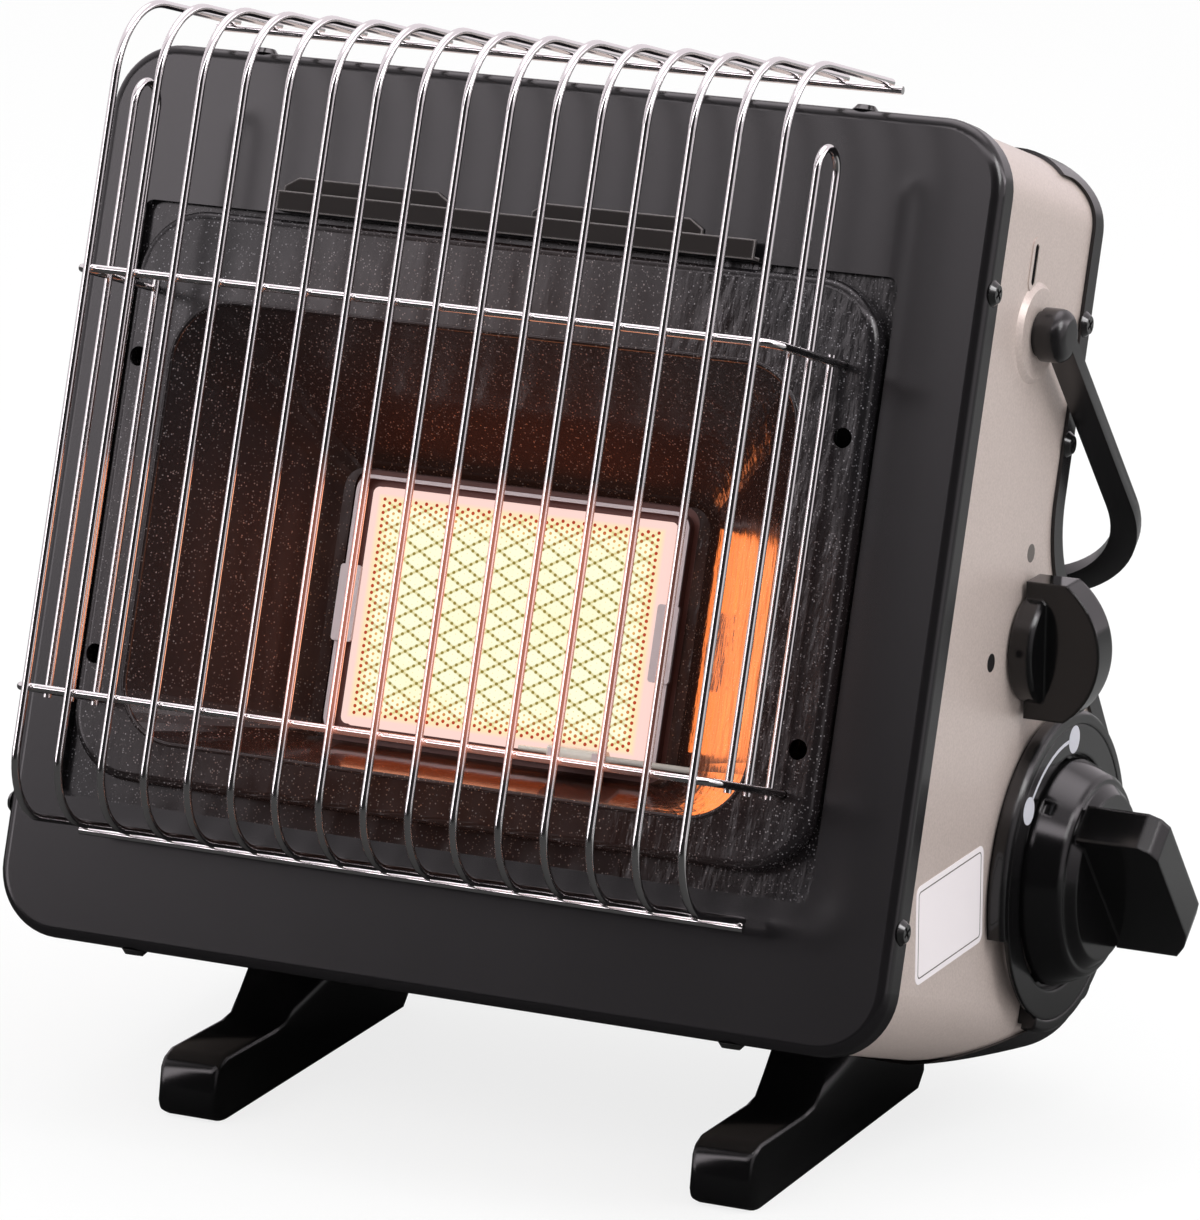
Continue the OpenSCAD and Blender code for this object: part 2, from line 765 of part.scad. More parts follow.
module gas_knob() color("#161617") in_case() difference() {
    union() {
        translate([0, drum[0], drum[1]]) rotate([0, 90, 0]) rotate_extrude($fn = 96)
            polygon([[0, knob_in], [gas_skirt_r - 2, knob_in],
                [gas_skirt_r, knob_in + 1.6], [gas_skirt_r, knob_in + 3.6],
                [gas_skirt_r - 3.4, half_w + 12.8], [gas_skirt_r - 4.6, half_w + 13.8],
                [collar_r + 1.2, half_w + 13.8], [collar_r, half_w + 15],
                [collar_r - 1.5, collar_out], [0, collar_out]]);
        translate([0, drum[0], drum[1]]) rotate([wing_turn, 0, 0])
            translate([0, wing_t / 2, 0]) rotate([90, 0, 0])
                linear_extrude(wing_t) wing_drawing();
    }
    bar_x(drum, knob_in - eps, collar_out - 2.1, spindle_r + run_gap);
    // pointer notch in the skirt, in line with the wing
    translate([0, drum[0], drum[1]]) rotate([wing_turn, 0, 0])
        translate([half_w + 5, -2, gas_skirt_r - 1.5]) cube([7, 4, 5]);
}

// wing of the gas knob: x out from the case, y along the wing
module wing_drawing() intersection() {
    translate([half_w + wing_base, -wing_half]) square([wing_reach - wing_base, 2 * wing_half]);
    union() {
        translate([half_w, -wing_half])
            square([wing_reach - wing_corner, 2 * wing_half]);
        translate([half_w, -wing_half + 2 * wing_corner])
            square([wing_reach, 2 * wing_half - 3 * wing_corner]);
        polygon([[half_w + wing_reach - wing_corner, wing_half],
            [half_w + wing_reach - 1.8, wing_half - 1.8],
            [half_w + wing_reach, wing_half - wing_corner],
            [half_w + wing_reach, 2 * wing_corner - wing_half],
            [half_w + wing_reach - 1.8, wing_corner - wing_half],
            [half_w + wing_reach - wing_corner, -wing_half]]);
    }
}

module mode_knob() color("#161617") in_case()
    translate([0, mode_axis[0], mode_axis[1]]) difference() {
        union() {
            rotate([0, 90, 0]) rotate_extrude($fn = 96) polygon([[0, skin_x + move_gap],
                [mode_r - 0.6, skin_x + move_gap], [mode_r, skin_x + 1.1],
                [mode_r, mode_out - 1], [mode_r - 1, mode_out], [0, mode_out]]);
            rotate([mode_turn, 0, 0]) translate([0, fin_t / 2, 0]) rotate([90, 0, 0])
                linear_extrude(fin_t) fin_drawing();
        }
        bar_x([0, 0], skin_x, mode_out - 1, spindle_r + run_gap);
    }

// fin of the mode knob: x out from the case, y along the fin
module fin_drawing() intersection() {
    translate([fin_arc_x, 0]) circle(fin_arc_r, $fn = 96);
    translate([fin_low, -fin_half]) square([40, 2 * fin_half]);
}

// ---- handle -------------------------------------------------------------
module handle() color("#1b1b1c") in_case() translate([0, pivot[0], pivot[1]])
    rotate([-handle_droop, 0, 0]) {
        difference() {
            union() {
                translate([0, 0, -strap_t / 2]) linear_extrude(strap_t) difference() {
                    handle_drawing(strap_mid + strap_w / 2, bend_r + strap_w / 2,
                        handle_reach + strap_w / 2);
                    handle_drawing(strap_mid - strap_w / 2, bend_r - strap_w / 2,
                        handle_reach - strap_w / 2);
                }
                for (side = [-1, 1]) ear(side);
            }
            // blind bores for the pivots
            for (side = [-1, 1]) translate([side * (strap_x - eps), 0, 0])
                rotate([0, side * 90, 0])
                    cylinder(h = stud_end - strap_x + 0.2 + eps, r = stud_r + run_gap);
        }
    }

// rounded end of the bail over its pivot
module ear(side) translate([side * strap_x, 0, 0]) rotate([0, side * 90, 0])
    rotate_extrude() {
        square([ear_r, strap_w - ear_round]);
        square([ear_r - ear_round, strap_w]);
        translate([ear_r - ear_round, strap_w - ear_round]) intersection() {
            circle(ear_round);
            square(ear_round);
        }
    }

// outline of the bail from the pivots (y = 0) to the grip
module handle_drawing(x, r, reach) {
    translate([-x, 0]) square([2 * x, reach - r]);
    translate([-x + r, 0]) square([2 * (x - r), reach]);
    for (sx = [-1, 1]) translate([sx * (x - r), reach - r]) circle(r, $fn = 128);
}

module handle_pivots() color("#a5a5a2") in_case() for (sx = [0, 1])
    mirror([sx, 0, 0]) {
        bar_x(pivot, inner_x - 3, stud_end, stud_r);
        bar_x(pivot, inner_x - 3, inner_x, 5.5);
        bar_x(pivot, boss_x, strap_x - 0.3, 6);
    }

// ---- guard --------------------------------------------------------------
module guard_bars() color("#c9c9cb") in_case()
    for (i = [0 : wire_count - 1])
        translate([guard_shift - guard_half + i * wire_pitch, 0, 0])
            rotate([90, 0, 90]) bent_wire([[wire_end_d, guard_low],
                [-guard_reach, guard_low], [-guard_reach, guard_top], tail_end],
                [low_bend_r, top_bend_r], wire_r);

module guard_foot_bar() color("#c9c9cb") in_case()
    bar_x(foot_bar, guard_shift - guard_half - wire_r,
        guard_shift + guard_half + wire_r, wire_r, $fn = 24);

module guard_top_rod() color("#c9c9cb") in_case()
    bar_x(top_rod, guard_shift - return_half, guard_shift + return_half, wire_r, $fn = 24);

module guard_cross_wires() color("#c9c9cb") in_case()
    for (v = cross_v) translate([guard_shift, 0, v])
        bent_wire([[-return_half, hook_in - plate_rise], [-return_half, cross_d],
            [return_half, cross_d], [return_half, hook_in - plate_rise]], [5, 5], wire_r);

module guard_side_wires() color("#c9c9cb") in_case()
    for (sx = [-1, 1]) translate([guard_shift + sx * side_half, 0, 0])
        rotate([90, 0, 90]) {
            r = (leg_d[1] - leg_d[0]) / 2;
            bent_wire([[leg_d[0], cross_v[0] - 2], [leg_d[0], hairpin_top],
                [leg_d[1], hairpin_top], [leg_d[1], cross_v[0] - 2]],
                [r - 0.01, r - 0.01], wire_r);
            wire_run([third_d, cross_v[0] - 2], [third_d, cross_v[1] + 2], wire_r, 0, 0);
        }

// ---- door ---------------------------------------------------------------
module cartridge_door() color("#222224") in_case() difference() {
    union() {
        along_x(door_x[0] + move_gap, door_x[1] - move_gap) intersection() {
            door_wedge(door_gap_a);
            difference() {
                side_outline(0, 0, 0);
                side_outline(door_sheet, door_sheet, door_sheet);
            }
        }
        bar_x(hinge, door_x[0] + move_gap, door_x[0] + knuckle_len, knuckle_r);
        bar_x(hinge, door_x[1] - knuckle_len, door_x[1] - move_gap, knuckle_r);
        // thumb lip along the top edge
        along_x(-30, 10) translate(drum + 55.8 * ray(79)) rotate(slope_a - 90)
            rounded(6, 3, 1.4);
    }
    bar_x(hinge, door_x[0], door_x[1], hinge_pin_r + run_gap);
}

module door_hinge_pin() color("#a5a5a2") in_case()
    bar_x(hinge, door_x[0] - ear_len, door_x[1] + ear_len, hinge_pin_r);

// ---- feet ---------------------------------------------------------------
module foot(side) color("#19191a") difference() {
    in_world() along_x(side * foot_x - foot_width / 2, side * foot_x + foot_width / 2)
        difference() {
            polygon([[19.5, 0], [128, 0], [132, 4], [132, 18], [126, 24], [126, 40], [75, 40], [70.5, 32],
                [68, 27], [63, 22], [57, 18.2], [51, 16.8], [27, 17], [23.6, 15.8],
                [21.6, 13.2], [15.2, 5], [15.8, 2]]);
        }
    in_case() along_x(-far, far) side_outline(-run_gap, -run_gap, 0);
    in_world() foot_screw_cuts(side);
}

module foot_screw_cuts(side) for (y = foot_screw_y) translate([side * foot_x, y, 0]) {
    translate([0, 0, -eps]) cylinder(h = 60, r = screw_r + screw_gap);
    translate([0, 0, -eps]) cylinder(h = 12 + eps, r = head_r + 0.4);
}

module foot_left() foot(-1);
module foot_right() foot(1);

module foot_screws() color("#8b8b88") in_world()
    for (sx = [-1, 1]) for (y = foot_screw_y) translate([sx * foot_x, y, 0]) {
        translate([0, 0, 12 - head_t]) cylinder(h = head_t, r = head_r);
        translate([0, 0, 12]) cylinder(h = 23, r = screw_r);
    }

// ---- screws -------------------------------------------------------------
// a domed cross-head screw along z, its head on z = 0
module domed_screw() {
    translate([0, 0, -screw_len]) cylinder(h = screw_len, r = screw_r);
    difference() {
        cylinder(h = head_t, r1 = head_r, r2 = head_r - head_slope);
        for (a = [45, 135]) translate([0, 0, head_t]) rotate(a)
            cube([head_r, 0.8, head_t], center = true);
    }
}

module side_screws_of(points) in_case() for (sx = [0, 1]) mirror([sx, 0, 0])
    for (p = points) translate([half_w, p[0], p[1]]) rotate([0, 90, 0]) domed_screw();

module panel_screws() color("#6f6f70") {
    side_screws_of(side_screws);
    in_case() for (x = band_screws_x) {
        translate([x, band_screw_d, panel_height]) domed_screw();
        translate([x, band_screw_d, 0]) rotate([180, 0, 0]) domed_screw();
    }
}

module rear_screws() color("#6f6f70") side_screws_of(rear_screws_at);

module burner_screws() color("#9a958c") in_case()
    for (sx = [-1, 1]) for (sv = [-1, 1])
        translate([plate_shift + sx * burner_screw[0], 0, burner_v + sv * burner_screw[1]]) {
            bar_d(0, 0, dish_back - 0.8, flange_d + sheet, screw_r);
            bar_d(0, 0, flange_d + sheet, flange_d + sheet + head_t, head_r - 0.6);
        }

front_panel();
housing();
rear_cover();
reflector();
deflector();
burner_frame();
ceramic_plaque();
plaque_gasket();
burner_box();
mixing_tube();
injector();
gas_pipe();
electrode();
electrode_bracket();
igniter_lead();
piezo_igniter();
valve_bracket();
valve_body();
cartridge_receiver();
cartridge_cradle();
heat_shield();
guard_bars();
guard_foot_bar();
guard_top_rod();
guard_cross_wires();
guard_side_wires();
mode_valve();
dial_plate();
foot_left();
foot_right();
foot_screws();
panel_screws();
rear_screws();
burner_screws();
handle_pivots();
door_hinge_pin();
handle();
gas_knob();
valve_spindle();
mode_knob();
mode_spindle();
cartridge_door();
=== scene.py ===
import bpy, bmesh, math
from mathutils import Vector, Matrix


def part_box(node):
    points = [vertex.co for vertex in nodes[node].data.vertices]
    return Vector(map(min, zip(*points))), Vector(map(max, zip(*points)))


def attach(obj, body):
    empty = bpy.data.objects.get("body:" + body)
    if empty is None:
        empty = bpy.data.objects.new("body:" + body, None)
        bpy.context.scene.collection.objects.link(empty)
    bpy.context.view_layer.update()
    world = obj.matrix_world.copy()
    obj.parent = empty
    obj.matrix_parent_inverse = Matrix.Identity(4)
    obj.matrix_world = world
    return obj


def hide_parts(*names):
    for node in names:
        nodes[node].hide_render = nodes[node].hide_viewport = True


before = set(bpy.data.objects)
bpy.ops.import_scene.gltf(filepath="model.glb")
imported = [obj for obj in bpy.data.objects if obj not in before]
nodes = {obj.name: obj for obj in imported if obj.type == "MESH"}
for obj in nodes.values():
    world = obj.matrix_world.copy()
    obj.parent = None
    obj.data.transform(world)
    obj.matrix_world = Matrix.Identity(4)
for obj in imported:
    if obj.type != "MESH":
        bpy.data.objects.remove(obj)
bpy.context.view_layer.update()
print("frame loaded:", len(nodes), "parts")

# the leaning case: x across, d back into the case, v up its face, all in mm
lean = math.radians(19.2)
caseAcross = Vector((1, 0, 0))
caseBack = Vector((0, math.cos(lean), -math.sin(lean)))
caseUp = Vector((0, math.sin(lean), math.cos(lean)))
toeStart = 0.0152  # from the case's origin to the front end of the feet
panelLow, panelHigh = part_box("front_panel")
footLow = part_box("foot_left")[0]
originX = (panelLow.x + panelHigh.x) / 2
originY = footLow.y - toeStart
edgeHeight = 0.053


def casePoint(x, d, v):
    c, s = math.cos(lean), math.sin(lean)
    return Vector((x / 1000 + originX, (d * c + v * s) / 1000 + originY,
                   edgeHeight + (v * c - d * s) / 1000))


def frontMatrix(x, d, v):  # local x across, y up the face, z out towards the viewer
    turn = Matrix((caseAcross, caseUp, caseAcross.cross(caseUp))).transposed().to_4x4()
    return Matrix.Translation(casePoint(x, d, v)) @ turn


def sideMatrix(x, d, v, angle=0):  # on the right wall: local x back, y up the face, z out
    turn = Matrix((caseBack, caseUp, caseBack.cross(caseUp))).transposed().to_4x4()
    return Matrix.Translation(casePoint(x, d, v)) @ turn @ Matrix.Rotation(angle, 4, "Z")


# shared effects, as node groups
def newGroup(name, inputs, outputs):
    tree = bpy.data.node_groups.new(name, "ShaderNodeTree")
    for label, kind, value in inputs:
        s = tree.interface.new_socket(label, in_out="INPUT", socket_type="NodeSocket" + kind)
        s.default_value = value
    for label, kind in outputs:
        tree.interface.new_socket(label, in_out="OUTPUT", socket_type="NodeSocket" + kind)
    return tree, tree.nodes.new("NodeGroupInput"), tree.nodes.new("NodeGroupOutput")


def wire(tree, target, value):
    if isinstance(value, bpy.types.NodeSocket):
        tree.links.new(value, target)
    else:
        target.default_value = value


def addNode(tree, kind, settings=None, **sockets):
    n = tree.nodes.new(kind if "Node" in kind else "ShaderNode" + kind)
    for key, value in (settings or {}).items():
        setattr(n, key, value)
    for key, value in sockets.items():
        slot = n.inputs[int(key[1:])] if key[0] == "i" and key[1:].isdigit() else n.inputs[key]
        wire(tree, slot, value)
    return n


def mathNode(tree, operation, *values):
    n = addNode(tree, "Math", {"operation": operation})
    for slot, value in zip(n.inputs, values):
        wire(tree, slot, value)
    return n.outputs[0]


def ramp(tree, fac, stops):
    n = tree.nodes.new("ShaderNodeValToRGB")
    tree.links.new(fac, n.inputs["Fac"])
    while len(n.color_ramp.elements) < len(stops):
        n.color_ramp.elements.new(0.5)
    for e, (pos, col) in zip(n.color_ramp.elements, stops):
        e.position = pos
        e.color = (*col, 1)
    return n.outputs["Color"]


def mapRange(tree, value, a, b, c, d):
    n = addNode(tree, "MapRange", None, Value=value)
    for key, v in zip(("From Min", "From Max", "To Min", "To Max"), (a, b, c, d)):
        n.inputs[key].default_value = v
    return n.outputs["Result"]


def mixColour(tree, fac, a, b):
    n = addNode(tree, "Mix", {"data_type": "RGBA"})
    for slot, value in zip((n.inputs["Factor"], n.inputs[6], n.inputs[7]), (fac, a, b)):
        wire(tree, slot, value)
    return n.outputs[2]


# fine moulded or sprayed grain: a height and a roughness that wander together
grainGroup, gIn, gOut = newGroup("fineGrain",
    [("Scale", "Float", 900.0), ("Base Roughness", "Float", 0.4), ("Spread", "Float", 0.08)],
    [("Height", "Float"), ("Roughness", "Float")])
gCoord = addNode(grainGroup, "TexCoord")
gFine = addNode(grainGroup, "TexNoise", None, Vector=gCoord.outputs["Object"],
                Scale=gIn.outputs["Scale"], Detail=3.0, Roughness=0.55)
gWide = addNode(grainGroup, "TexNoise", None, Vector=gCoord.outputs["Object"],
                Scale=22.0, Detail=4.0, Roughness=0.6)
gShift = mathNode(grainGroup, "SUBTRACT", gWide.outputs["Fac"], 0.5)
gRough = mathNode(grainGroup, "MULTIPLY_ADD", gShift, gIn.outputs["Spread"],
                  gIn.outputs["Base Roughness"])
grainGroup.links.new(gFine.outputs["Fac"], gOut.inputs["Height"])
grainGroup.links.new(gRough, gOut.inputs["Roughness"])

# thin dust that settles on faces that look up
dustGroup, dIn, dOut = newGroup("settledDust",
    [("Colour", "Color", (0.02, 0.02, 0.02, 1)), ("Dust", "Color", (0.30, 0.28, 0.26, 1)),
     ("Amount", "Float", 0.05)], [("Colour", "Color")])
dGeo = addNode(dustGroup, "NewGeometry")
dSep = addNode(dustGroup, "SeparateXYZ", None, i0=dGeo.outputs["Normal"])
dUp = mapRange(dustGroup, dSep.outputs["Z"], 0.2, 1.0, 0.0, 1.0)
dCoord = addNode(dustGroup, "TexCoord")
dNoise = addNode(dustGroup, "TexNoise", None, Vector=dCoord.outputs["Object"], Scale=60.0,
                 Detail=5.0)
dPatch = mapRange(dustGroup, dNoise.outputs["Fac"], 0.35, 0.75, 0.2, 1.0)
dFac = mathNode(dustGroup, "MULTIPLY", mathNode(dustGroup, "MULTIPLY", dUp, dPatch),
                dIn.outputs["Amount"])
dustGroup.links.new(mixColour(dustGroup, dFac, dIn.outputs["Colour"], dIn.outputs["Dust"]),
                    dOut.inputs["Colour"])

# rounded look of an edge: the normal turned over it, and a mask that is 1 on the edge, used to
# paint highlights on edges
edgeGroup, eIn, eOut = newGroup("softEdge", [("Radius", "Float", 0.001)],
    [("Normal", "Vector"), ("Edge", "Float")])
eBevel = addNode(edgeGroup, "Bevel", {"samples": 4}, Radius=eIn.outputs["Radius"])
eGeo = addNode(edgeGroup, "NewGeometry")
eDot = addNode(edgeGroup, "VectorMath", {"operation": "DOT_PRODUCT"}, i0=eBevel.outputs["Normal"],
               i1=eGeo.outputs["Normal"])
edgeGroup.links.new(eBevel.outputs["Normal"], eOut.inputs["Normal"])
edgeGroup.links.new(mapRange(edgeGroup, eDot.outputs["Value"], 0.99, 0.80, 0.0, 1.0),
                    eOut.inputs["Edge"])

# nearness to the burner: 1 at its middle, falling to 0 at the given reach in metres; it masks the
# painted burner glow on the enamel
burnerPlace = (-4, 27.6, 101.5)
burnerMiddle = casePoint(*burnerPlace)
nearnessGroup, hIn, hOut = newGroup("burnerNearness",
    [("Near", "Float", 0.05), ("Reach", "Float", 0.13)], [("Nearness", "Float")])
hCoord = addNode(nearnessGroup, "TexCoord")
hMove = addNode(nearnessGroup, "VectorMath", {"operation": "DISTANCE"}, i0=hCoord.outputs["Object"],
                i1=burnerMiddle)
hMap = addNode(nearnessGroup, "MapRange", None, Value=hMove.outputs["Value"])
nearnessGroup.links.new(hIn.outputs["Near"], hMap.inputs["From Min"])
nearnessGroup.links.new(hIn.outputs["Reach"], hMap.inputs["From Max"])
hMap.inputs["To Min"].default_value = 1.0
hMap.inputs["To Max"].default_value = 0.0
nearnessGroup.links.new(hMap.outputs["Result"], hOut.inputs["Nearness"])

# 1 inside the burner plaque, falling to 0 over a band along its rim
rimGroup, rIn, rOut = newGroup("plaqueInside",
    [("Half Width", "Float", 0.0445), ("Half Height", "Float", 0.032), ("Band", "Float", 0.004)],
    [("Inside", "Float"), ("Across", "Float"), ("Up", "Float")])
rCoord = addNode(rimGroup, "TexCoord")
rMove = addNode(rimGroup, "VectorMath", {"operation": "SUBTRACT"}, i0=rCoord.outputs["Object"],
                i1=burnerMiddle)
rSep = addNode(rimGroup, "SeparateXYZ", None, i0=rMove.outputs[0])
rUp = mathNode(rimGroup, "DIVIDE", rSep.outputs["Z"], math.cos(lean))
rLeft = [mathNode(rimGroup, "DIVIDE",
                  mathNode(rimGroup, "SUBTRACT", half, mathNode(rimGroup, "ABSOLUTE", place)),
                  rIn.outputs["Band"])
         for half, place in ((rIn.outputs["Half Width"], rSep.outputs["X"]),
                             (rIn.outputs["Half Height"], rUp))]
rInside = addNode(rimGroup, "Clamp", None, i0=mathNode(rimGroup, "MINIMUM", *rLeft))
rimGroup.links.new(rInside.outputs[0], rOut.inputs["Inside"])
rimGroup.links.new(rSep.outputs["X"], rOut.inputs["Across"])
rimGroup.links.new(rUp, rOut.inputs["Up"])


def startMaterial(name):
    mat = bpy.data.materials.new(name)
    mat.use_nodes = True
    tree = mat.node_tree
    return mat, tree, tree.nodes["Principled BSDF"]


def placeGroup(tree, group, **values):
    n = tree.nodes.new("ShaderNodeGroup")
    n.node_tree = group
    for key, value in values.items():
        wire(tree, n.inputs[key.replace("_", " ")], value)
    return n


def addBump(tree, shader, height, strength, distance, normal=None):
    bump = addNode(tree, "Bump", None, Height=height, Strength=strength, Distance=distance)
    if normal:
        tree.links.new(normal, bump.inputs["Normal"])
    tree.links.new(bump.outputs["Normal"], shader.inputs["Normal"])


# painted, moulded and plain metal finishes share this recipe
def plainFinish(name, colour, roughness, spread=0.08, metallic=0.0, grain=900.0, bump=0.06,
                dust=0.03, coat=0.0, specular=0.5, edge=0.0, edgeHighlight=None):
    mat, tree, shader = startMaterial(name)
    g = placeGroup(tree, grainGroup, Scale=grain, Base_Roughness=roughness, Spread=spread)
    d = placeGroup(tree, dustGroup, Colour=(*colour, 1), Amount=dust)
    tree.links.new(g.outputs["Roughness"], shader.inputs["Roughness"])
    shade, normal = d.outputs["Colour"], None
    if edge:
        e = placeGroup(tree, edgeGroup, Radius=edge / 1000)
        normal = e.outputs["Normal"]
        # the edge mask paints the given highlight colour along the edges
        if edgeHighlight:
            shade = mixColour(tree, e.outputs["Edge"], shade, (*edgeHighlight, 1))
    tree.links.new(shade, shader.inputs["Base Color"])
    addBump(tree, shader, g.outputs["Height"], bump, 0.0002, normal)
    shader.inputs["Metallic"].default_value = metallic
    shader.inputs["Coat Weight"].default_value = coat
    shader.inputs["Coat Roughness"].default_value = 0.12
    shader.inputs["Specular IOR Level"].default_value = specular
    return mat


# vitreous enamel: near-black glass with fine pale flecks; nearer the burner a painted glow turns
# the base browner and the flecks reddish
enamelLook = {"fleckScale": 1900.0, "fleckShare": 0.78, "streakAcross": 240.0,
              "streakUp": 70.0, "calm": 0.05, "wavy": 0.55, "wavyFrom": 0.050, "wavyTo": 0.060,
              "burnerNear": 0.055, "burnerReach": 0.125, "cloudScale": 90.0,
              "glossLow": 0.17, "glossHigh": 0.27, "burnerGloss": 0.6,
              "base": (0.0095, 0.0085, 0.0095, 1), "paintedGlowBase": (0.026, 0.011, 0.008, 1),
              "coolFlecks": ((0.34, 0.33, 0.35, 1), (0.16, 0.15, 0.16, 1)),
              "paintedGlowFlecks": ((0.30, 0.12, 0.06, 1), (0.22, 0.19, 0.18, 1))}


def enamelFinish(name):
    mat, tree, shader = startMaterial(name)
    coord = addNode(tree, "TexCoord")
    cells = addNode(tree, "TexVoronoi", {"feature": "F1"}, Vector=coord.outputs["Object"],
                    Scale=enamelLook["fleckScale"])
    dice = addNode(tree, "SeparateColor", None, i0=cells.outputs["Color"])
    pick = mapRange(tree, dice.outputs[0], enamelLook["fleckShare"], 1.0, 0.0, 1.0)
    dot = mapRange(tree, cells.outputs["Distance"], 0.2, 0.5, 1.0, 0.0)
    fleck = mathNode(tree, "MULTIPLY", pick, dot)
    # painted glow of the burner: nearer it the base turns browner and the flecks reddish, and the
    # enamel is glossier
    nearBurner = placeGroup(tree, nearnessGroup, Near=enamelLook["burnerNear"],
                      Reach=enamelLook["burnerReach"]).outputs["Nearness"]
    base = mixColour(tree, nearBurner, enamelLook["base"], enamelLook["paintedGlowBase"])
    cool = mixColour(tree, dice.outputs[1], *enamelLook["coolFlecks"])
    paintedGlow = mixColour(tree, dice.outputs[2], *enamelLook["paintedGlowFlecks"])
    tint = mixColour(tree, nearBurner, cool, paintedGlow)
    tree.links.new(mixColour(tree, fleck, base, tint), shader.inputs["Base Color"])
    lay = addNode(tree, "Mapping", {"vector_type": "TEXTURE"}, i0=coord.outputs["Object"])
    lay.inputs["Rotation"].default_value = (-lean, 0, 0)
    lay.inputs["Scale"].default_value = (1 / enamelLook["streakAcross"],
                                         1 / enamelLook["streakAcross"],
                                         1 / enamelLook["streakUp"])
    streak = addNode(tree, "TexNoise", None, Vector=lay.outputs[0], Scale=1.0, Detail=3.0)
    across = placeGroup(tree, rimGroup).outputs["Across"]
    ripple = mapRange(tree, across, enamelLook["wavyFrom"], enamelLook["wavyTo"],
                      enamelLook["calm"], enamelLook["wavy"])
    addBump(tree, shader, streak.outputs["Fac"], ripple, 0.0006)
    wide = addNode(tree, "TexNoise", None, Vector=coord.outputs["Object"],
                   Scale=enamelLook["cloudScale"])
    gloss = mapRange(tree, wide.outputs["Fac"], 0.3, 0.7, enamelLook["glossLow"],
                     enamelLook["glossHigh"])
    calm = mathNode(tree, "SUBTRACT", 1.0,
                    mathNode(tree, "MULTIPLY", nearBurner, enamelLook["burnerGloss"]))
    tree.links.new(mathNode(tree, "MULTIPLY", gloss, calm), shader.inputs["Roughness"])
    shader.inputs["IOR"].default_value = 1.45
    return mat


# champagne metallic paint over steel
champagne = {"dark": (0.52, 0.435, 0.400), "light": (0.61, 0.515, 0.475), "flake": 1500.0,
             "metallic": 0.22, "roughness": 0.38, "coat": 0.25, "coatRoughness": 0.2}


def beigeFinish(name):
    mat, tree, shader = startMaterial(name)
    coord = addNode(tree, "TexCoord")
    flake = addNode(tree, "TexNoise", None, Vector=coord.outputs["Object"],
                    Scale=champagne["flake"], Detail=2.0)
    colour = ramp(tree, flake.outputs["Fac"], [(0.3, champagne["dark"]),
                                               (0.7, champagne["light"])])
    tree.links.new(colour, shader.inputs["Base Color"])
    g = placeGroup(tree, grainGroup, Scale=1200.0, Base_Roughness=champagne["roughness"],
                   Spread=0.06)
    tree.links.new(g.outputs["Roughness"], shader.inputs["Roughness"])
    addBump(tree, shader, g.outputs["Height"], 0.05, 0.0001)
    shader.inputs["Metallic"].default_value = champagne["metallic"]
    shader.inputs["Coat Weight"].default_value = champagne["coat"]
    shader.inputs["Coat Roughness"].default_value = champagne["coatRoughness"]
    return mat


# glowing ceramic: a pink rim, then a pale yellow field crossed by darker rows of pores
plaqueLook = {"rimColour": (1.0, 0.70, 0.64), "edgeGlow": (1.0, 0.80, 0.50),
              "glow": (1.0, 0.96, 0.60), "hot": (1.0, 1.0, 0.74),
              "rowColour": (0.60, 0.47, 0.10, 1), "mirrored": (0.32, 0.05, 0.01, 1),
              "halfWidth": 0.0434, "halfHeight": 0.0308, "rimBand": 0.0045, "wander": 0.16,
              "rowStrength": 0.62, "pitch": 1.83, "rowEvery": 3, "rowSlope": math.radians(30)}
poreLook = {"small": 0.15, "rim": 0.52, "large": 0.50, "width": 84.5, "height": 59.5,
            "proud": 0.04, "rimBand": 7.5, "colourBand": 0.010, "rowWidth": 1.6, "side": 67,
            "onRow": [(0.0, (0.36, 0.018, 0.010)), (0.25, (0.50, 0.06, 0.02)),
                      (0.55, (0.42, 0.19, 0.04)), (1.0, (0.28, 0.21, 0.04))],
            "inField": [(0.0, (0.36, 0.018, 0.010)), (0.25, (0.55, 0.07, 0.02)),
                        (0.6, (0.85, 0.50, 0.16)), (1.0, (0.92, 0.80, 0.40))]}

# thin lines along every third row of pores, both ways across the plaque
rowGroup, wIn, wOut = newGroup("rowLines",
    [("Across", "Float", 0.0), ("Up", "Float", 0.0), ("Width", "Float", 1.0)],
    [("Lines", "Float")])
rowGap = plaqueLook["pitch"] * plaqueLook["rowEvery"] * math.cos(plaqueLook["rowSlope"]) / 1000
wLines = []
for slope in (-plaqueLook["rowSlope"], plaqueLook["rowSlope"]):
    wShift = mathNode(rowGroup, "ADD",
                      mathNode(rowGroup, "MULTIPLY", wIn.outputs["Across"], math.sin(slope)),
                      mathNode(rowGroup, "MULTIPLY", wIn.outputs["Up"], math.cos(slope)))
    wCell = mathNode(rowGroup, "FRACT", mathNode(rowGroup, "ADD",
                     mathNode(rowGroup, "DIVIDE", wShift, rowGap), 50.5))
    wOff = mathNode(rowGroup, "ABSOLUTE", mathNode(rowGroup, "SUBTRACT", wCell, 0.5))
    wFade = addNode(rowGroup, "MapRange", None, Value=wOff)
    for key, edge in (("From Min", 0.02), ("From Max", 0.11)):
        wire(rowGroup, wFade.inputs[key],
             mathNode(rowGroup, "MULTIPLY", wIn.outputs["Width"], edge))
    wFade.inputs["To Min"].default_value = 1.0
    wFade.inputs["To Max"].default_value = 0.0
    wLines.append(wFade.outputs["Result"])
rowGroup.links.new(mathNode(rowGroup, "MAXIMUM", *wLines), wOut.inputs["Lines"])


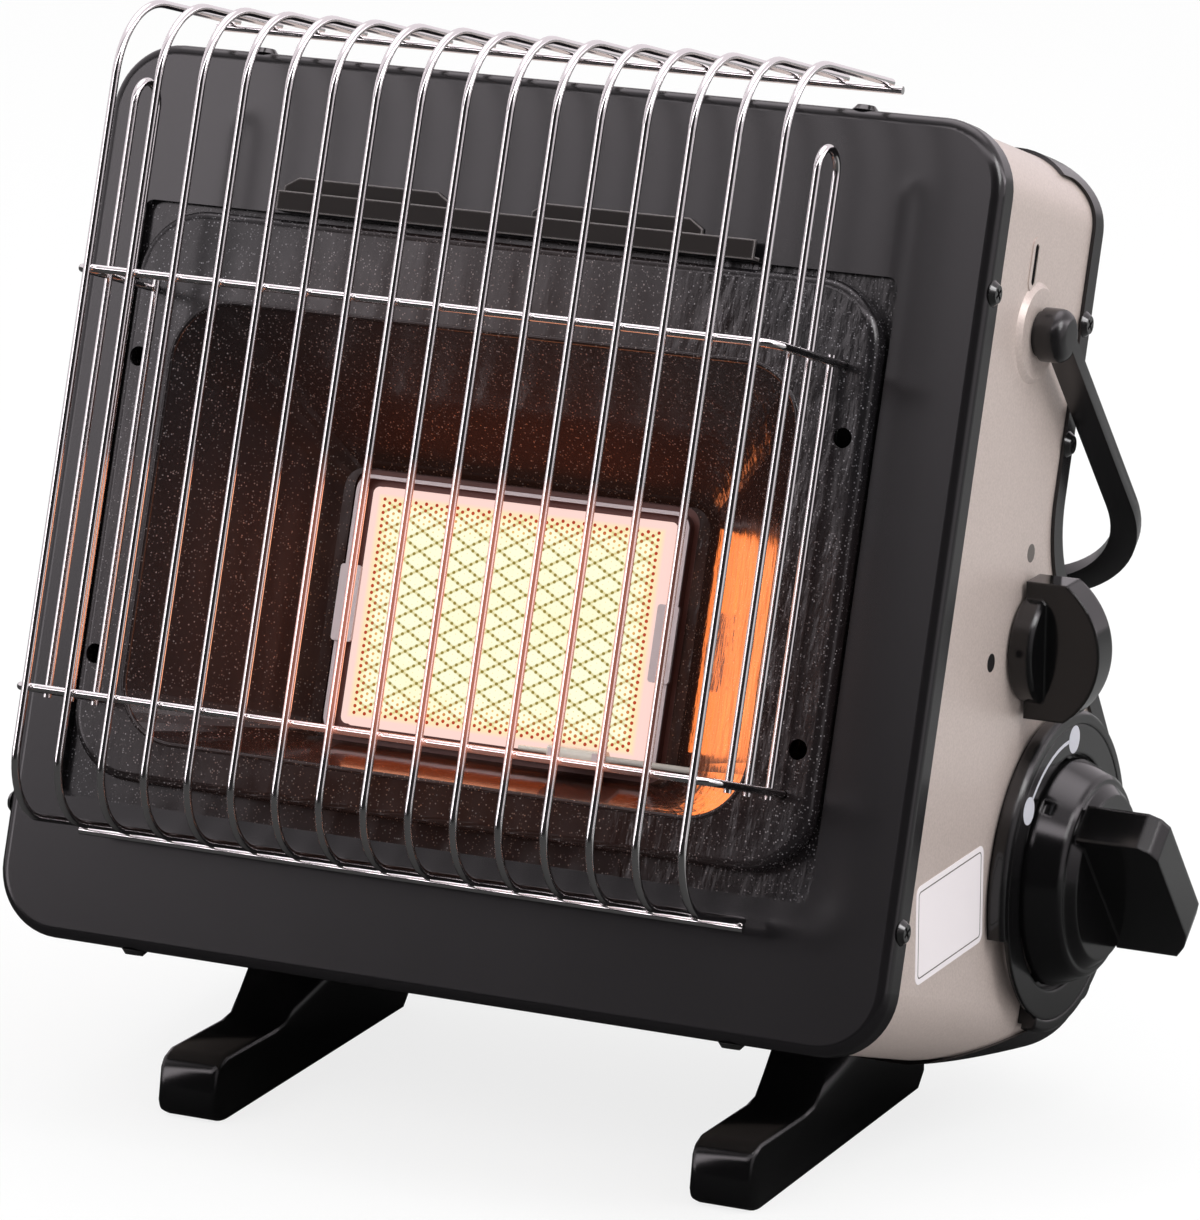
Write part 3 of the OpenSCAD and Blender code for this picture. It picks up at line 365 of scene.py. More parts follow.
def plaqueMasks(tree, band, rowWidth):  # how far inside the rim, and how much on a row
    inside = placeGroup(tree, rimGroup, Half_Width=plaqueLook["halfWidth"],
                        Half_Height=plaqueLook["halfHeight"], Band=band)
    rows = placeGroup(tree, rowGroup, Across=inside.outputs["Across"], Up=inside.outputs["Up"],
                      Width=rowWidth)
    return inside.outputs["Inside"], rows.outputs["Lines"]


def glowOnly(tree, shader, colour, base):  # lit from within, with hardly any surface of its own
    tree.links.new(colour, shader.inputs["Emission Color"])
    shader.inputs["Emission Strength"].default_value = 1.0
    shader.inputs["Base Color"].default_value = base
    shader.inputs["Roughness"].default_value = 0.9
    shader.inputs["Specular IOR Level"].default_value = 0.0


def plaqueFinish(name):
    mat, tree, shader = startMaterial(name)
    inside, rows = plaqueMasks(tree, plaqueLook["rimBand"], 1.0)
    coord = addNode(tree, "TexCoord")
    cloud = addNode(tree, "TexNoise", None, Vector=coord.outputs["Object"], Scale=60.0,
                    Detail=2.0)
    wander = mapRange(tree, cloud.outputs["Fac"], 0.3, 0.7, -plaqueLook["wander"],
                      plaqueLook["wander"])
    edge = mapRange(tree, inside, 0.3, 0.6, 0.0, 1.0)
    depth = mathNode(tree, "ADD", inside, mathNode(tree, "MULTIPLY", wander, edge))
    glow = ramp(tree, depth, [(0.0, plaqueLook["rimColour"]), (0.3, plaqueLook["edgeGlow"]),
                              (0.7, plaqueLook["glow"]), (1.0, plaqueLook["hot"])])
    fac = mathNode(tree, "MULTIPLY", mathNode(tree, "MULTIPLY", rows, edge),
                   plaqueLook["rowStrength"])
    ray = addNode(tree, "LightPath")
    face = mixColour(tree, fac, glow, plaqueLook["rowColour"])
    seen = mixColour(tree, ray.outputs["Is Glossy Ray"], face, plaqueLook["mirrored"])
    glowOnly(tree, shader, seen, (0.02, 0.015, 0.012, 1))
    return mat


def poreFinish(name):
    mat, tree, shader = startMaterial(name)
    inside, rows = plaqueMasks(tree, poreLook["colourBand"], poreLook["rowWidth"])
    colour = mixColour(tree, rows, ramp(tree, inside, poreLook["inField"]),
                       ramp(tree, inside, poreLook["onRow"]))
    glowOnly(tree, shader, colour, (0.01, 0.008, 0.006, 1))
    return mat


# pale where it faces out; behind the plaque's face, dark red-brown painted shade with painted
# burner glow
burnerLook = {"pale": (0.58, 0.49, 0.50, 1), "sunk": (0.10, 0.030, 0.022, 1),
              "paintedShadeFrom": -0.0005, "paintedShadeTo": 0.0004, "roughness": 0.36, "metallic": 0.15}


def burnerFinish(name):
    mat, tree, shader = startMaterial(name)
    g = placeGroup(tree, grainGroup, Scale=700.0, Base_Roughness=burnerLook["roughness"],
                   Spread=0.2)
    coord = addNode(tree, "TexCoord")
    depth = addNode(tree, "VectorMath", {"operation": "DOT_PRODUCT"}, i0=coord.outputs["Object"],
                    i1=caseBack)
    face = burnerMiddle.dot(caseBack)
    # painted shade with painted burner glow: dark red-brown behind the plaque's face
    sunk = mapRange(tree, depth.outputs["Value"], face + burnerLook["paintedShadeFrom"],
                    face + burnerLook["paintedShadeTo"], 0.0, 1.0)
    tree.links.new(mixColour(tree, sunk, burnerLook["pale"], burnerLook["sunk"]),
                   shader.inputs["Base Color"])
    tree.links.new(g.outputs["Roughness"], shader.inputs["Roughness"])
    addBump(tree, shader, g.outputs["Height"], 0.05, 0.0002)
    shader.inputs["Metallic"].default_value = burnerLook["metallic"]
    return mat


# a pale painted highlight along the walls and the top, and black painted shade along the underside
seamLook = {"under": (0.008, 0.007, 0.008, 1), "above": (0.82, 0.76, 0.73, 1),
            "from": 0.055, "to": 0.075}


def seamFinish(name):
    mat, tree, shader = startMaterial(name)
    coord = addNode(tree, "TexCoord")
    height = addNode(tree, "SeparateXYZ", None, i0=coord.outputs["Object"]).outputs["Z"]
    # black painted shade low down, pale painted highlight higher up
    lift = mapRange(tree, height, seamLook["from"], seamLook["to"], 0.0, 1.0)
    tree.links.new(mixColour(tree, lift, seamLook["under"], seamLook["above"]),
                   shader.inputs["Base Color"])
    g = placeGroup(tree, grainGroup, Scale=1200.0, Base_Roughness=0.3, Spread=0.05)
    tree.links.new(g.outputs["Roughness"], shader.inputs["Roughness"])
    return mat


# bright plating, with a painted glow of the burner, an orange-red emission, where it crosses in
# front of the burner
guardLook = {"colour": (0.82, 0.80, 0.80, 1), "roughness": 0.11, "paintedGlow": (0.42, 0.14, 0.09, 1),
             "paintedGlowAcross": 0.028, "paintedGlowUp": 0.025, "acrossFade": (0.036, 0.064),
             "upFade": (0.026, 0.040)}


def guardFinish(name):
    mat, tree, shader = startMaterial(name)
    g = placeGroup(tree, grainGroup, Scale=500.0, Base_Roughness=guardLook["roughness"],
                   Spread=0.05)
    shader.inputs["Base Color"].default_value = guardLook["colour"]
    tree.links.new(g.outputs["Roughness"], shader.inputs["Roughness"])
    addBump(tree, shader, g.outputs["Height"], 0.015, 0.0002)
    shader.inputs["Metallic"].default_value = 1.0
    # painted reflection of the burner's glow: an orange-red emission on the wires in front of the
    # burner
    place = placeGroup(tree, rimGroup).outputs
    across, up = (mathNode(tree, "ABSOLUTE", mathNode(tree, "SUBTRACT", place[k], guardLook[m]))
                  for k, m in (("Across", "paintedGlowAcross"), ("Up", "paintedGlowUp")))
    paintedGlow = mathNode(tree, "MULTIPLY", mapRange(tree, across, *guardLook["acrossFade"], 1.0, 0.0),
                    mapRange(tree, up, *guardLook["upFade"], 1.0, 0.0))
    tree.links.new(mixColour(tree, paintedGlow, (0, 0, 0, 1), guardLook["paintedGlow"]),
                   shader.inputs["Emission Color"])
    shader.inputs["Emission Strength"].default_value = 1.0
    return mat


plainLooks = {
    "caseBlack": dict(colour=(0.0080, 0.0072, 0.0080), roughness=0.20, spread=0.03, grain=1400,
                      bump=0.03, dust=0.004),
    # the deflector's pale edge colour is a painted highlight along its edges
    "shieldBlack": dict(colour=(0.012, 0.009, 0.008), roughness=0.5, grain=1200, bump=0.1,
                        dust=0.02, specular=0.25, edge=0.9, edgeHighlight=(0.42, 0.38, 0.38)),
    "fibre": dict(colour=(0.55, 0.52, 0.46), roughness=0.95, spread=0.05, grain=1500, bump=0.5,
                  dust=0.02),
    "brass": dict(colour=(0.62, 0.42, 0.16), roughness=0.32, spread=0.12, metallic=1, grain=600,
                  bump=0.05, dust=0),
    "porcelain": dict(colour=(0.72, 0.69, 0.62), roughness=0.22, spread=0.05, bump=0.02,
                      dust=0.02, coat=0.4),
    "lead": dict(colour=(0.55, 0.52, 0.48), roughness=0.6, spread=0.05, bump=0.1, dust=0.02),
    "innerPlastic": dict(colour=(0.02, 0.02, 0.022), roughness=0.5, spread=0.05),
    "platedSteel": dict(colour=(0.56, 0.56, 0.55), roughness=0.34, spread=0.15, metallic=1,
                        grain=500, bump=0.04, dust=0),
    "dieCast": dict(colour=(0.42, 0.42, 0.42), roughness=0.5, spread=0.15, metallic=1, grain=700,
                    bump=0.15, dust=0),
    "blackPlastic": dict(colour=(0.0035, 0.0034, 0.0036), roughness=0.13, spread=0.04,
                         grain=1300, bump=0.02, dust=0.004, edge=1.2),
    "screwBlack": dict(colour=(0.010, 0.010, 0.010), roughness=0.18, bump=0.03, dust=0.01,
                       coat=0.5, edge=0.3),
    "handleBlack": dict(colour=(0.0085, 0.008, 0.0085), roughness=0.27, spread=0.06, grain=1200,
                        bump=0.05, dust=0.01),
    # painted shade: black for the inside of the vent slot
    "paintedShadeBlack": dict(colour=(0.002, 0.002, 0.002), roughness=0.8, spread=0.05, grain=1500,
                      bump=0.05, dust=0.0, specular=0.1),
    "whitePrint": dict(colour=(0.60, 0.60, 0.66), roughness=0.5, spread=0.05, grain=1500,
                       bump=0.05, dust=0.0),
    "greyPrint": dict(colour=(0.12, 0.105, 0.095), roughness=0.5, spread=0.05, grain=1500,
                      bump=0.05, dust=0.0),
    "blackPrint": dict(colour=(0.008, 0.007, 0.007), roughness=0.45, spread=0.05, grain=1500,
                       bump=0.05, dust=0.0),
    "sticker": dict(colour=(0.86, 0.80, 0.82), roughness=0.34, spread=0.06, grain=1500,
                    bump=0.04, dust=0.0),
}
finishes = {name: plainFinish(name, **look) for name, look in plainLooks.items()}
for name, build in (("caseBeige", beigeFinish), ("seamPaintedHighlight", seamFinish),
                    ("enamel", enamelFinish), ("burnerSteel", burnerFinish),
                    ("plaque", plaqueFinish), ("pore", poreFinish), ("guardChrome", guardFinish)):
    finishes[name] = build(name)
wornBy = {
    "caseBlack": ["front_panel", "rear_cover", "cartridge_door"],
    "shieldBlack": ["deflector"],
    "caseBeige": ["housing"],
    "enamel": ["reflector"],
    "burnerSteel": ["burner_frame", "burner_box", "mixing_tube", "electrode_bracket"],
    "plaque": ["ceramic_plaque"],
    "fibre": ["plaque_gasket"],
    "brass": ["injector", "gas_pipe", "cartridge_receiver", "valve_spindle", "mode_valve",
              "mode_spindle"],
    "porcelain": ["electrode"],
    "lead": ["igniter_lead"],
    "innerPlastic": ["piezo_igniter"],
    "dieCast": ["valve_body"],
    "guardChrome": [n for n in nodes if n.startswith("guard_")],
    "blackPlastic": ["dial_plate", "foot_left", "foot_right", "gas_knob", "mode_knob"],
    "screwBlack": ["panel_screws", "rear_screws"],
    "handleBlack": ["handle", "handle_pivots"],
}
finishOf = {n: f for f, group in wornBy.items() for n in group}
for name, obj in nodes.items():
    obj.data.materials.clear()
    obj.data.materials.append(finishes[finishOf.get(name, "platedSteel")])
print("finishes laid on:", len(finishes))


# pieces made with geometry nodes
def newGeoTree(name, inputs):
    tree = bpy.data.node_groups.new(name, "GeometryNodeTree")
    for label, kind in inputs:
        tree.interface.new_socket(label, in_out="INPUT", socket_type="NodeSocket" + kind)
    tree.interface.new_socket("Geometry", in_out="OUTPUT", socket_type="NodeSocketGeometry")
    return tree, tree.nodes.new("NodeGroupInput"), tree.nodes.new("NodeGroupOutput")


def closeGeoTree(tree, gIn, gOut, geometry):
    real = addNode(tree, "GeometryNodeRealizeInstances", None, Geometry=geometry)
    dressed = addNode(tree, "GeometryNodeSetMaterial", None, Geometry=real.outputs[0],
                      Material=gIn.outputs["Material"])
    tree.links.new(dressed.outputs[0], gOut.inputs["Geometry"])


def growPiece(name, tree, values, place, body):
    holder = bpy.data.objects.new(name, bpy.data.meshes.new(name + "Seed"))
    bpy.context.scene.collection.objects.link(holder)
    mod = holder.modifiers.new("grow", "NODES")
    mod.node_group = tree
    for item in tree.interface.items_tree:
        if item.in_out == "INPUT" and item.name in values:
            mod[item.identifier] = values[item.name]
    grown = holder.evaluated_get(bpy.context.evaluated_depsgraph_get())
    mesh = bpy.data.meshes.new_from_object(grown)
    holder.modifiers.clear()
    mesh.transform(place)
    holder.data = mesh
    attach(holder, body)


# pores of the plaque, on a triangular lattice with every third row wider
poreTree, pIn, pOut = newGeoTree("poreField", [("Pitch", "Float"), ("Width", "Float"),
    ("Height", "Float"), ("Small", "Float"), ("Rim", "Float"), ("Large", "Float"),
    ("Band", "Float"), ("Every", "Float"), ("Side", "Int"), ("Material", "Material")])
side = pIn.outputs["Side"]
count = mathNode(poreTree, "MULTIPLY", side, side)
points = addNode(poreTree, "GeometryNodePoints", None, Count=count)
index = addNode(poreTree, "GeometryNodeInputIndex").outputs[0]
half = mathNode(poreTree, "FLOOR", mathNode(poreTree, "DIVIDE", side, 2.0))
row = mathNode(poreTree, "SUBTRACT",
               mathNode(poreTree, "FLOOR", mathNode(poreTree, "DIVIDE", index, side)), half)
col = mathNode(poreTree, "SUBTRACT", mathNode(poreTree, "FLOORED_MODULO", index, side), half)
px = mathNode(poreTree, "MULTIPLY", mathNode(poreTree, "ADD", row, col),
              mathNode(poreTree, "MULTIPLY", pIn.outputs["Pitch"], math.cos(math.radians(30))))
py = mathNode(poreTree, "MULTIPLY", mathNode(poreTree, "SUBTRACT", row, col),
              mathNode(poreTree, "MULTIPLY", pIn.outputs["Pitch"], 0.5))
spot = addNode(poreTree, "CombineXYZ", None, X=px, Y=py)
spread = addNode(poreTree, "GeometryNodeSetPosition", None, Geometry=points.outputs[0],
                 Position=spot.outputs[0])
over = [mathNode(poreTree, "GREATER_THAN", mathNode(poreTree, "ABSOLUTE", place),
                 mathNode(poreTree, "DIVIDE", pIn.outputs[key], 2.0))
        for place, key in ((px, "Width"), (py, "Height"))]
trimmed = addNode(poreTree, "GeometryNodeDeleteGeometry", {"domain": "POINT"},
                  Geometry=spread.outputs[0],
                  Selection=mathNode(poreTree, "MAXIMUM", *over))
# row numbers are read again from the place, since trimming renumbers the points
where = addNode(poreTree, "GeometryNodeInputPosition")
cut = addNode(poreTree, "SeparateXYZ", None, i0=where.outputs[0])
sumRC = mathNode(poreTree, "DIVIDE", cut.outputs["X"],
                 mathNode(poreTree, "MULTIPLY", pIn.outputs["Pitch"],
                          math.cos(math.radians(30))))
difRC = mathNode(poreTree, "DIVIDE", cut.outputs["Y"],
                 mathNode(poreTree, "MULTIPLY", pIn.outputs["Pitch"], 0.5))
onRow = []
for operation in ("ADD", "SUBTRACT"):
    number = mathNode(poreTree, "ROUND", mathNode(poreTree, "MULTIPLY",
                      mathNode(poreTree, operation, sumRC, difRC), 0.5))
    onRow.append(mathNode(poreTree, "LESS_THAN",
                          mathNode(poreTree, "FLOORED_MODULO", number, pIn.outputs["Every"]),
                          0.5))
wide = mathNode(poreTree, "MAXIMUM", *onRow)
toRim = mathNode(poreTree, "MINIMUM", *(
    mathNode(poreTree, "SUBTRACT", mathNode(poreTree, "DIVIDE", pIn.outputs[key], 2.0),
             mathNode(poreTree, "ABSOLUTE", cut.outputs[axis]))
    for axis, key in (("X", "Width"), ("Y", "Height"))))
nearRim = addNode(poreTree, "Clamp", None, i0=mathNode(poreTree, "SUBTRACT", 1.3,
                  mathNode(poreTree, "DIVIDE", toRim, pIn.outputs["Band"]))).outputs[0]
small = mathNode(poreTree, "MULTIPLY_ADD", nearRim,
                 mathNode(poreTree, "SUBTRACT", pIn.outputs["Rim"], pIn.outputs["Small"]),
                 pIn.outputs["Small"])
radius = mathNode(poreTree, "MULTIPLY_ADD", wide,
                  mathNode(poreTree, "SUBTRACT", pIn.outputs["Large"], small), small)
disc = addNode(poreTree, "GeometryNodeMeshCircle", {"fill_type": "NGON"}, Vertices=8, Radius=1.0)
size = addNode(poreTree, "CombineXYZ", None, X=radius, Y=radius, Z=1.0)
pores = addNode(poreTree, "GeometryNodeInstanceOnPoints", None, Points=trimmed.outputs[0],
                Instance=disc.outputs[0], Scale=size.outputs[0])
closeGeoTree(poreTree, pIn, pOut, pores.outputs[0])
growPiece("plaquePores", poreTree,
          {"Pitch": plaqueLook["pitch"] / 1000, "Width": poreLook["width"] / 1000,
           "Height": poreLook["height"] / 1000, "Small": poreLook["small"] / 1000,
           "Rim": poreLook["rim"] / 1000, "Band": poreLook["rimBand"] / 1000,
           "Large": poreLook["large"] / 1000, "Every": float(plaqueLook["rowEvery"]),
           "Side": poreLook["side"], "Material": finishes["pore"]},
          frontMatrix(burnerPlace[0], burnerPlace[1] - poreLook["proud"], burnerPlace[2]),
          "case")
print("pores set")

# rolled lip round the mouth of the dish: a round bead along a rounded rectangle
lipLook = {"width": 186.0, "height": 120.4, "corner": 17.0, "bead": 0.75, "depth": -4.35,
           "x": -6.5, "v": 116.5}
lipTree, lIn, lOut = newGeoTree("beadPath", [("Width", "Float"), ("Height", "Float"),
    ("Corner", "Float"), ("Bead", "Float"), ("Material", "Material")])
outline = addNode(lipTree, "GeometryNodeCurvePrimitiveQuadrilateral", None,
                  Width=lIn.outputs["Width"], Height=lIn.outputs["Height"])
curved = addNode(lipTree, "GeometryNodeFilletCurve", {"mode": "POLY"}, Curve=outline.outputs[0],
                 Count=14, Radius=lIn.outputs["Corner"])
section = addNode(lipTree, "GeometryNodeCurvePrimitiveCircle", None, Resolution=12,
                  Radius=lIn.outputs["Bead"])
bead = addNode(lipTree, "GeometryNodeCurveToMesh", None, Curve=curved.outputs[0])
lipTree.links.new(section.outputs[0], bead.inputs["Profile Curve"])
smooth = addNode(lipTree, "GeometryNodeSetShadeSmooth", None, Geometry=bead.outputs[0])
closeGeoTree(lipTree, lIn, lOut, smooth.outputs[0])


def growBead(name, look, finish):
    sizes = {label: look[label.lower()] / 1000 for label in ("Width", "Height", "Corner", "Bead")}
    growPiece(name, lipTree, {**sizes, "Material": finishes[finish]},
              frontMatrix(look["x"], look["depth"], look["v"]), "case")


growBead("mouthLip", lipLook, "enamel")
# rolled seam where the beige wall meets the black band, pale as a painted highlight line
seam = {"width": 262.3, "height": 244.3, "corner": 18.2, "bead": 0.55, "depth": 8.7, "x": 0,
        "v": 123}
growBead("wallSeam", seam, "seamPaintedHighlight")

# the feet and the handle again with rounded edges, made from their own outlines; the moves
# ease the top of the toes, in mm of y and z, and edges behind the reach stay sharp
toeMoves = {(21.6, 13.2): (17.0, 14.2), (23.6, 15.8): (18.8, 16.8), (27, 17): (23, 18.2),
            (51, 16.8): (51, 17.4)}
footLook = {"body": "case", "round": 2.2, "moves": toeMoves, "reach": 64, "slot": "black_plastic"}
rounding = {"foot_left": footLook, "foot_right": footLook,
            "handle": {"body": "handle", "round": 1.5, "moves": {}, "reach": 999,
                       "slot": "handle_black"}}


def roundedCopy(name, look):
    bm = bmesh.new()
    bm.from_mesh(nodes[name].data)
    bmesh.ops.remove_doubles(bm, verts=bm.verts, dist=1e-5)
    for vert in bm.verts:
        y, z = (vert.co.y - originY) * 1000, vert.co.z * 1000
        for (fromY, fromZ), (toY, toZ) in look["moves"].items():
            if abs(y - fromY) < 0.05 and abs(z - fromZ) < 0.05:
                vert.co.y, vert.co.z = originY + toY / 1000, toZ / 1000
    bmesh.ops.dissolve_limit(bm, angle_limit=math.radians(1), verts=bm.verts, edges=bm.edges)
    sharp = [e for e in bm.edges if len(e.link_faces) == 2
             and e.calc_face_angle(0) > math.radians(30)
             and all((v.co.y - originY) * 1000 < look["reach"] for v in e.verts)]
    bmesh.ops.bevel(bm, geom=sharp, offset=look["round"] / 1000, offset_type="OFFSET",
                    segments=3, profile=0.5, affect="EDGES", clamp_overlap=True)
    bmesh.ops.recalc_face_normals(bm, faces=bm.faces)
    bmesh.ops.triangulate(bm, faces=[f for f in bm.faces if len(f.verts) > 4])
    mesh = bpy.data.meshes.new(name + "Round")
    bm.to_mesh(mesh)
    bm.free()
    mesh.materials.append(nodes[name].data.materials[0])
    mesh.shade_smooth()
    mesh.set_sharp_from_angle(angle=math.radians(32))
    obj = bpy.data.objects.new(name + "Round", mesh)
    bpy.context.scene.collection.objects.link(obj)
    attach(obj, look["body"])
    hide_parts(name)
    print(name, "rounded:", len(mesh.polygons), "faces")


for name, look in rounding.items():
    roundedCopy(name, look)


# thin printed and stuck-on pieces
def roundedOutline(w, h, r, steps=8):
    points = []
    for cx, cy, a0 in ((w / 2 - r, h / 2 - r, 0), (r - w / 2, h / 2 - r, 90),
                       (r - w / 2, r - h / 2, 180), (w / 2 - r, r - h / 2, 270)):
        for k in range(steps + 1):
            a = math.radians(a0 + 90 * k / steps)
            points.append((cx + r * math.cos(a), cy + r * math.sin(a)))
    return points


def circleOutline(r, steps=40):
    return [(r * math.cos(2 * math.pi * k / steps), r * math.sin(2 * math.pi * k / steps))
            for k in range(steps)]


def thinPlate(name, outline, thickness, place, finish, inner=None):
    bm = bmesh.new()
    outer = [bm.verts.new((x / 1000, y / 1000, 0)) for x, y in outline]
    if inner:
        hole = [bm.verts.new((x / 1000, y / 1000, 0)) for x, y in inner]
        n = len(outer)
        faces = [bm.faces.new((outer[k], outer[(k + 1) % n], hole[(k + 1) % n], hole[k]))
                 for k in range(n)]
    else:
        faces = [bm.faces.new(outer)]
    grown = bmesh.ops.extrude_face_region(bm, geom=faces)
    top = [g for g in grown["geom"] if isinstance(g, bmesh.types.BMVert)]
    bmesh.ops.translate(bm, vec=(0, 0, thickness / 1000), verts=top)
    bmesh.ops.recalc_face_normals(bm, faces=bm.faces)
    mesh = bpy.data.meshes.new(name)
    bm.to_mesh(mesh)
    bm.free()
    mesh.transform(place)
    mesh.materials.append(finishes[finish])
    obj = bpy.data.objects.new(name, mesh)
    bpy.context.scene.collection.objects.link(obj)
    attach(obj, "case")


sticker = {"size": (44.8, 26.8), "corner": 2.6, "centre": (38.0, 41.2), "turn": 18.6,
           "inset": 1.5, "rule": 0.35, "wall": 130.9}
stickerPlace = sideMatrix(sticker["wall"], *sticker["centre"], math.radians(sticker["turn"]))
w, h = sticker["size"]
thinPlate("sideSticker", roundedOutline(w, h, sticker["corner"]), 0.14, stickerPlace, "sticker")
ruled = [roundedOutline(w - 2 * i, h - 2 * i, sticker["corner"] - i * 0.8)
         for i in (sticker["inset"], sticker["inset"] + sticker["rule"])]
thinPlate("stickerRule", ruled[0], 0.03,
          stickerPlace @ Matrix.Translation((0, 0, 0.00014)), "greyPrint", inner=ruled[1])

# the pressed frame of the vent slot, high on each wall, with a black plate of painted shade in its
# hole; the left one is the right one mirrored
ventSlot = {"place": (32.4, 213.1), "hole": (2.5, 11.0), "frame": (5.6, 14.6), "proud": 0.35}
flip = Matrix.Translation((2 * originX, 0, 0)) @ Matrix.Scale(-1, 4, (1, 0, 0))
rightSlot = sideMatrix(sticker["wall"], *ventSlot["place"])
for label, slotPlace in (("right", rightSlot), ("left", flip @ rightSlot)):
    outer, hole = (roundedOutline(*ventSlot[k], ventSlot[k][0] / 2 - 0.01)
                   for k in ("frame", "hole"))
    thinPlate(label + "SlotFrame", outer, ventSlot["proud"], slotPlace, "caseBeige", inner=hole)
    # black plate in the slot's hole: painted shade
    thinPlate(label + "SlotPaintedShade", hole, 0.1, slotPlace, "paintedShadeBlack")

modeMarks = {"radius": 2.5, "upper": (59.4, 139.2), "front": (42.0, 108.3)}
for label, finish in (("upper", "greyPrint"), ("front", "blackPrint")):
    thinPlate(label + "ModeDot", circleOutline(modeMarks["radius"]), 0.06,
              sideMatrix(sticker["wall"], *modeMarks[label]), finish)

# a ring fills the dial face round the knob; two round marks sit on it, joined by a thin arc
dial = {"centre": (104.5, 57), "face": 136.1, "ringIn": 32.4, "ringOut": 40.4, "reach": 36.4,
        "radius": 3.8, "angles": (101.5, 156.6), "line": 1.0}
thinPlate("dialRing", circleOutline(dial["ringOut"], 96), 1.3,
          sideMatrix(dial["face"] - 1.3, *dial["centre"]), "blackPlastic",
          inner=circleOutline(dial["ringIn"], 96))
for label, a in zip(("top", "lit"), dial["angles"]):
    spotAt = [c + dial["reach"] * f(math.radians(a))
              for c, f in zip(dial["centre"], (math.cos, math.sin))]
    thinPlate(label + "DialMark", circleOutline(dial["radius"]), 0.06,
              sideMatrix(dial["face"], *spotAt), "whitePrint")
gapAngle = math.degrees(dial["radius"] / dial["reach"]) * 0.95
arc = [math.radians(dial["angles"][0] + gapAngle
                    + (dial["angles"][1] - dial["angles"][0] - 2 * gapAngle) * k / 24)
       for k in range(25)]
band = [((dial["reach"] + s * dial["line"] / 2) * math.cos(a),
         (dial["reach"] + s * dial["line"] / 2) * math.sin(a))
        for s, run in ((1, arc), (-1, arc[::-1])) for a in run]
thinPlate("dialArc", band, 0.06, sideMatrix(dial["face"], *dial["centre"]), "whitePrint")
print("marks and sticker set")


# camera, floor and light
stageLook = {"floorGrey": 0.93, "floorBounce": 0.55, "floorInGloss": 0.05,
             "floorBehind": 0.35, "floorGlow": 0.80, "worldLevel": 0.90, "glossSide": 0.9,
             "glossFront": 0.015, "glossBright": 3.9, "glossTop": 3.0,
             "glossColour": (1.0, 0.92, 0.97, 1), "frontWay": (0.12, -0.99, 0.02),
             "brightWay": (-0.515, 0.541, 0.665), "roofWay": (-0.1, 0.35, 0.93)}
cameraLook = {"lens": 210.7, "sensor": 36, "place": (0.8116, -1.56841, 0.6505),
              "aim": (-0.41943, 0.86726, -0.26825)}
cam = bpy.data.cameras.new("camera")
cam.sensor_fit, cam.sensor_width, cam.lens = "HORIZONTAL", cameraLook["sensor"], cameraLook["lens"]
camera = bpy.data.objects.new("camera", cam)
bpy.context.scene.collection.objects.link(camera)
camera.location = Vector(cameraLook["place"]) + Vector((originX, originY, 0))
camera.rotation_euler = Vector(cameraLook["aim"]).to_track_quat("-Z", "Y").to_euler()
bpy.context.scene.camera = camera
bpy.context.scene.view_settings.view_transform = "Standard"

bm = bmesh.new()
bmesh.ops.create_grid(bm, x_segments=1, y_segments=1, size=6)
floorMesh = bpy.data.meshes.new("floor")
bm.to_mesh(floorMesh)
bm.free()
floor = bpy.data.objects.new("floor", floorMesh)
bpy.context.scene.collection.objects.link(floor)
floorMat, tree, shader = startMaterial("floor")
ray = addNode(tree, "LightPath")
spot = addNode(tree, "TexCoord").outputs["Object"]
behind = addNode(tree, "VectorMath", {"operation": "DOT_PRODUCT"}, i0=spot,
                 i1=(0.45, 0.89, 0.0)).outputs["Value"]
camGrey, bounceGrey, nearGrey, farGrey = (
    (stageLook[k],) * 3 + (1,) for k in ("floorGrey", "floorBounce", "floorInGloss", "floorBehind"))
mirrored = mixColour(tree, mapRange(tree, behind, 0.10, 0.35, 0.0, 1.0), nearGrey, farGrey)
dim = mixColour(tree, ray.outputs["Is Glossy Ray"], bounceGrey, mirrored)
tree.links.new(mixColour(tree, ray.outputs["Is Camera Ray"], dim, camGrey),
               shader.inputs["Base Color"])
shader.inputs["Roughness"].default_value = 0.9
shader.inputs["Specular IOR Level"].default_value = 0.0
paper = addNode(tree, "Emission", None, Color=(1, 1, 1, 1), Strength=1.0)
blend = addNode(tree, "MixShader", None, i1=shader.outputs[0], i2=paper.outputs[0],
                i0=mathNode(tree, "MULTIPLY", ray.outputs["Is Camera Ray"],
                            stageLook["floorGlow"]))
tree.links.new(blend.outputs[0], tree.nodes["Material Output"].inputs["Surface"])
floorMesh.materials.append(floorMat)

# white all round for the camera; glossy rays see a dark front, as in a studio
world = bpy.data.worlds.new("studio")
bpy.context.scene.world = world
world.use_nodes = True
wt = world.node_tree


def backdrop(node, colour, strength):
    node.inputs["Color"].default_value = colour
    node.inputs["Strength"].default_value = strength
    return node


def towards(way):  # how far a ray points along the given way, from -1 to 1
    return addNode(wt, "VectorMath", {"operation": "DOT_PRODUCT"}, i0=wCoord.outputs["Generated"],
                   i1=Vector(way).normalized()).outputs["Value"]


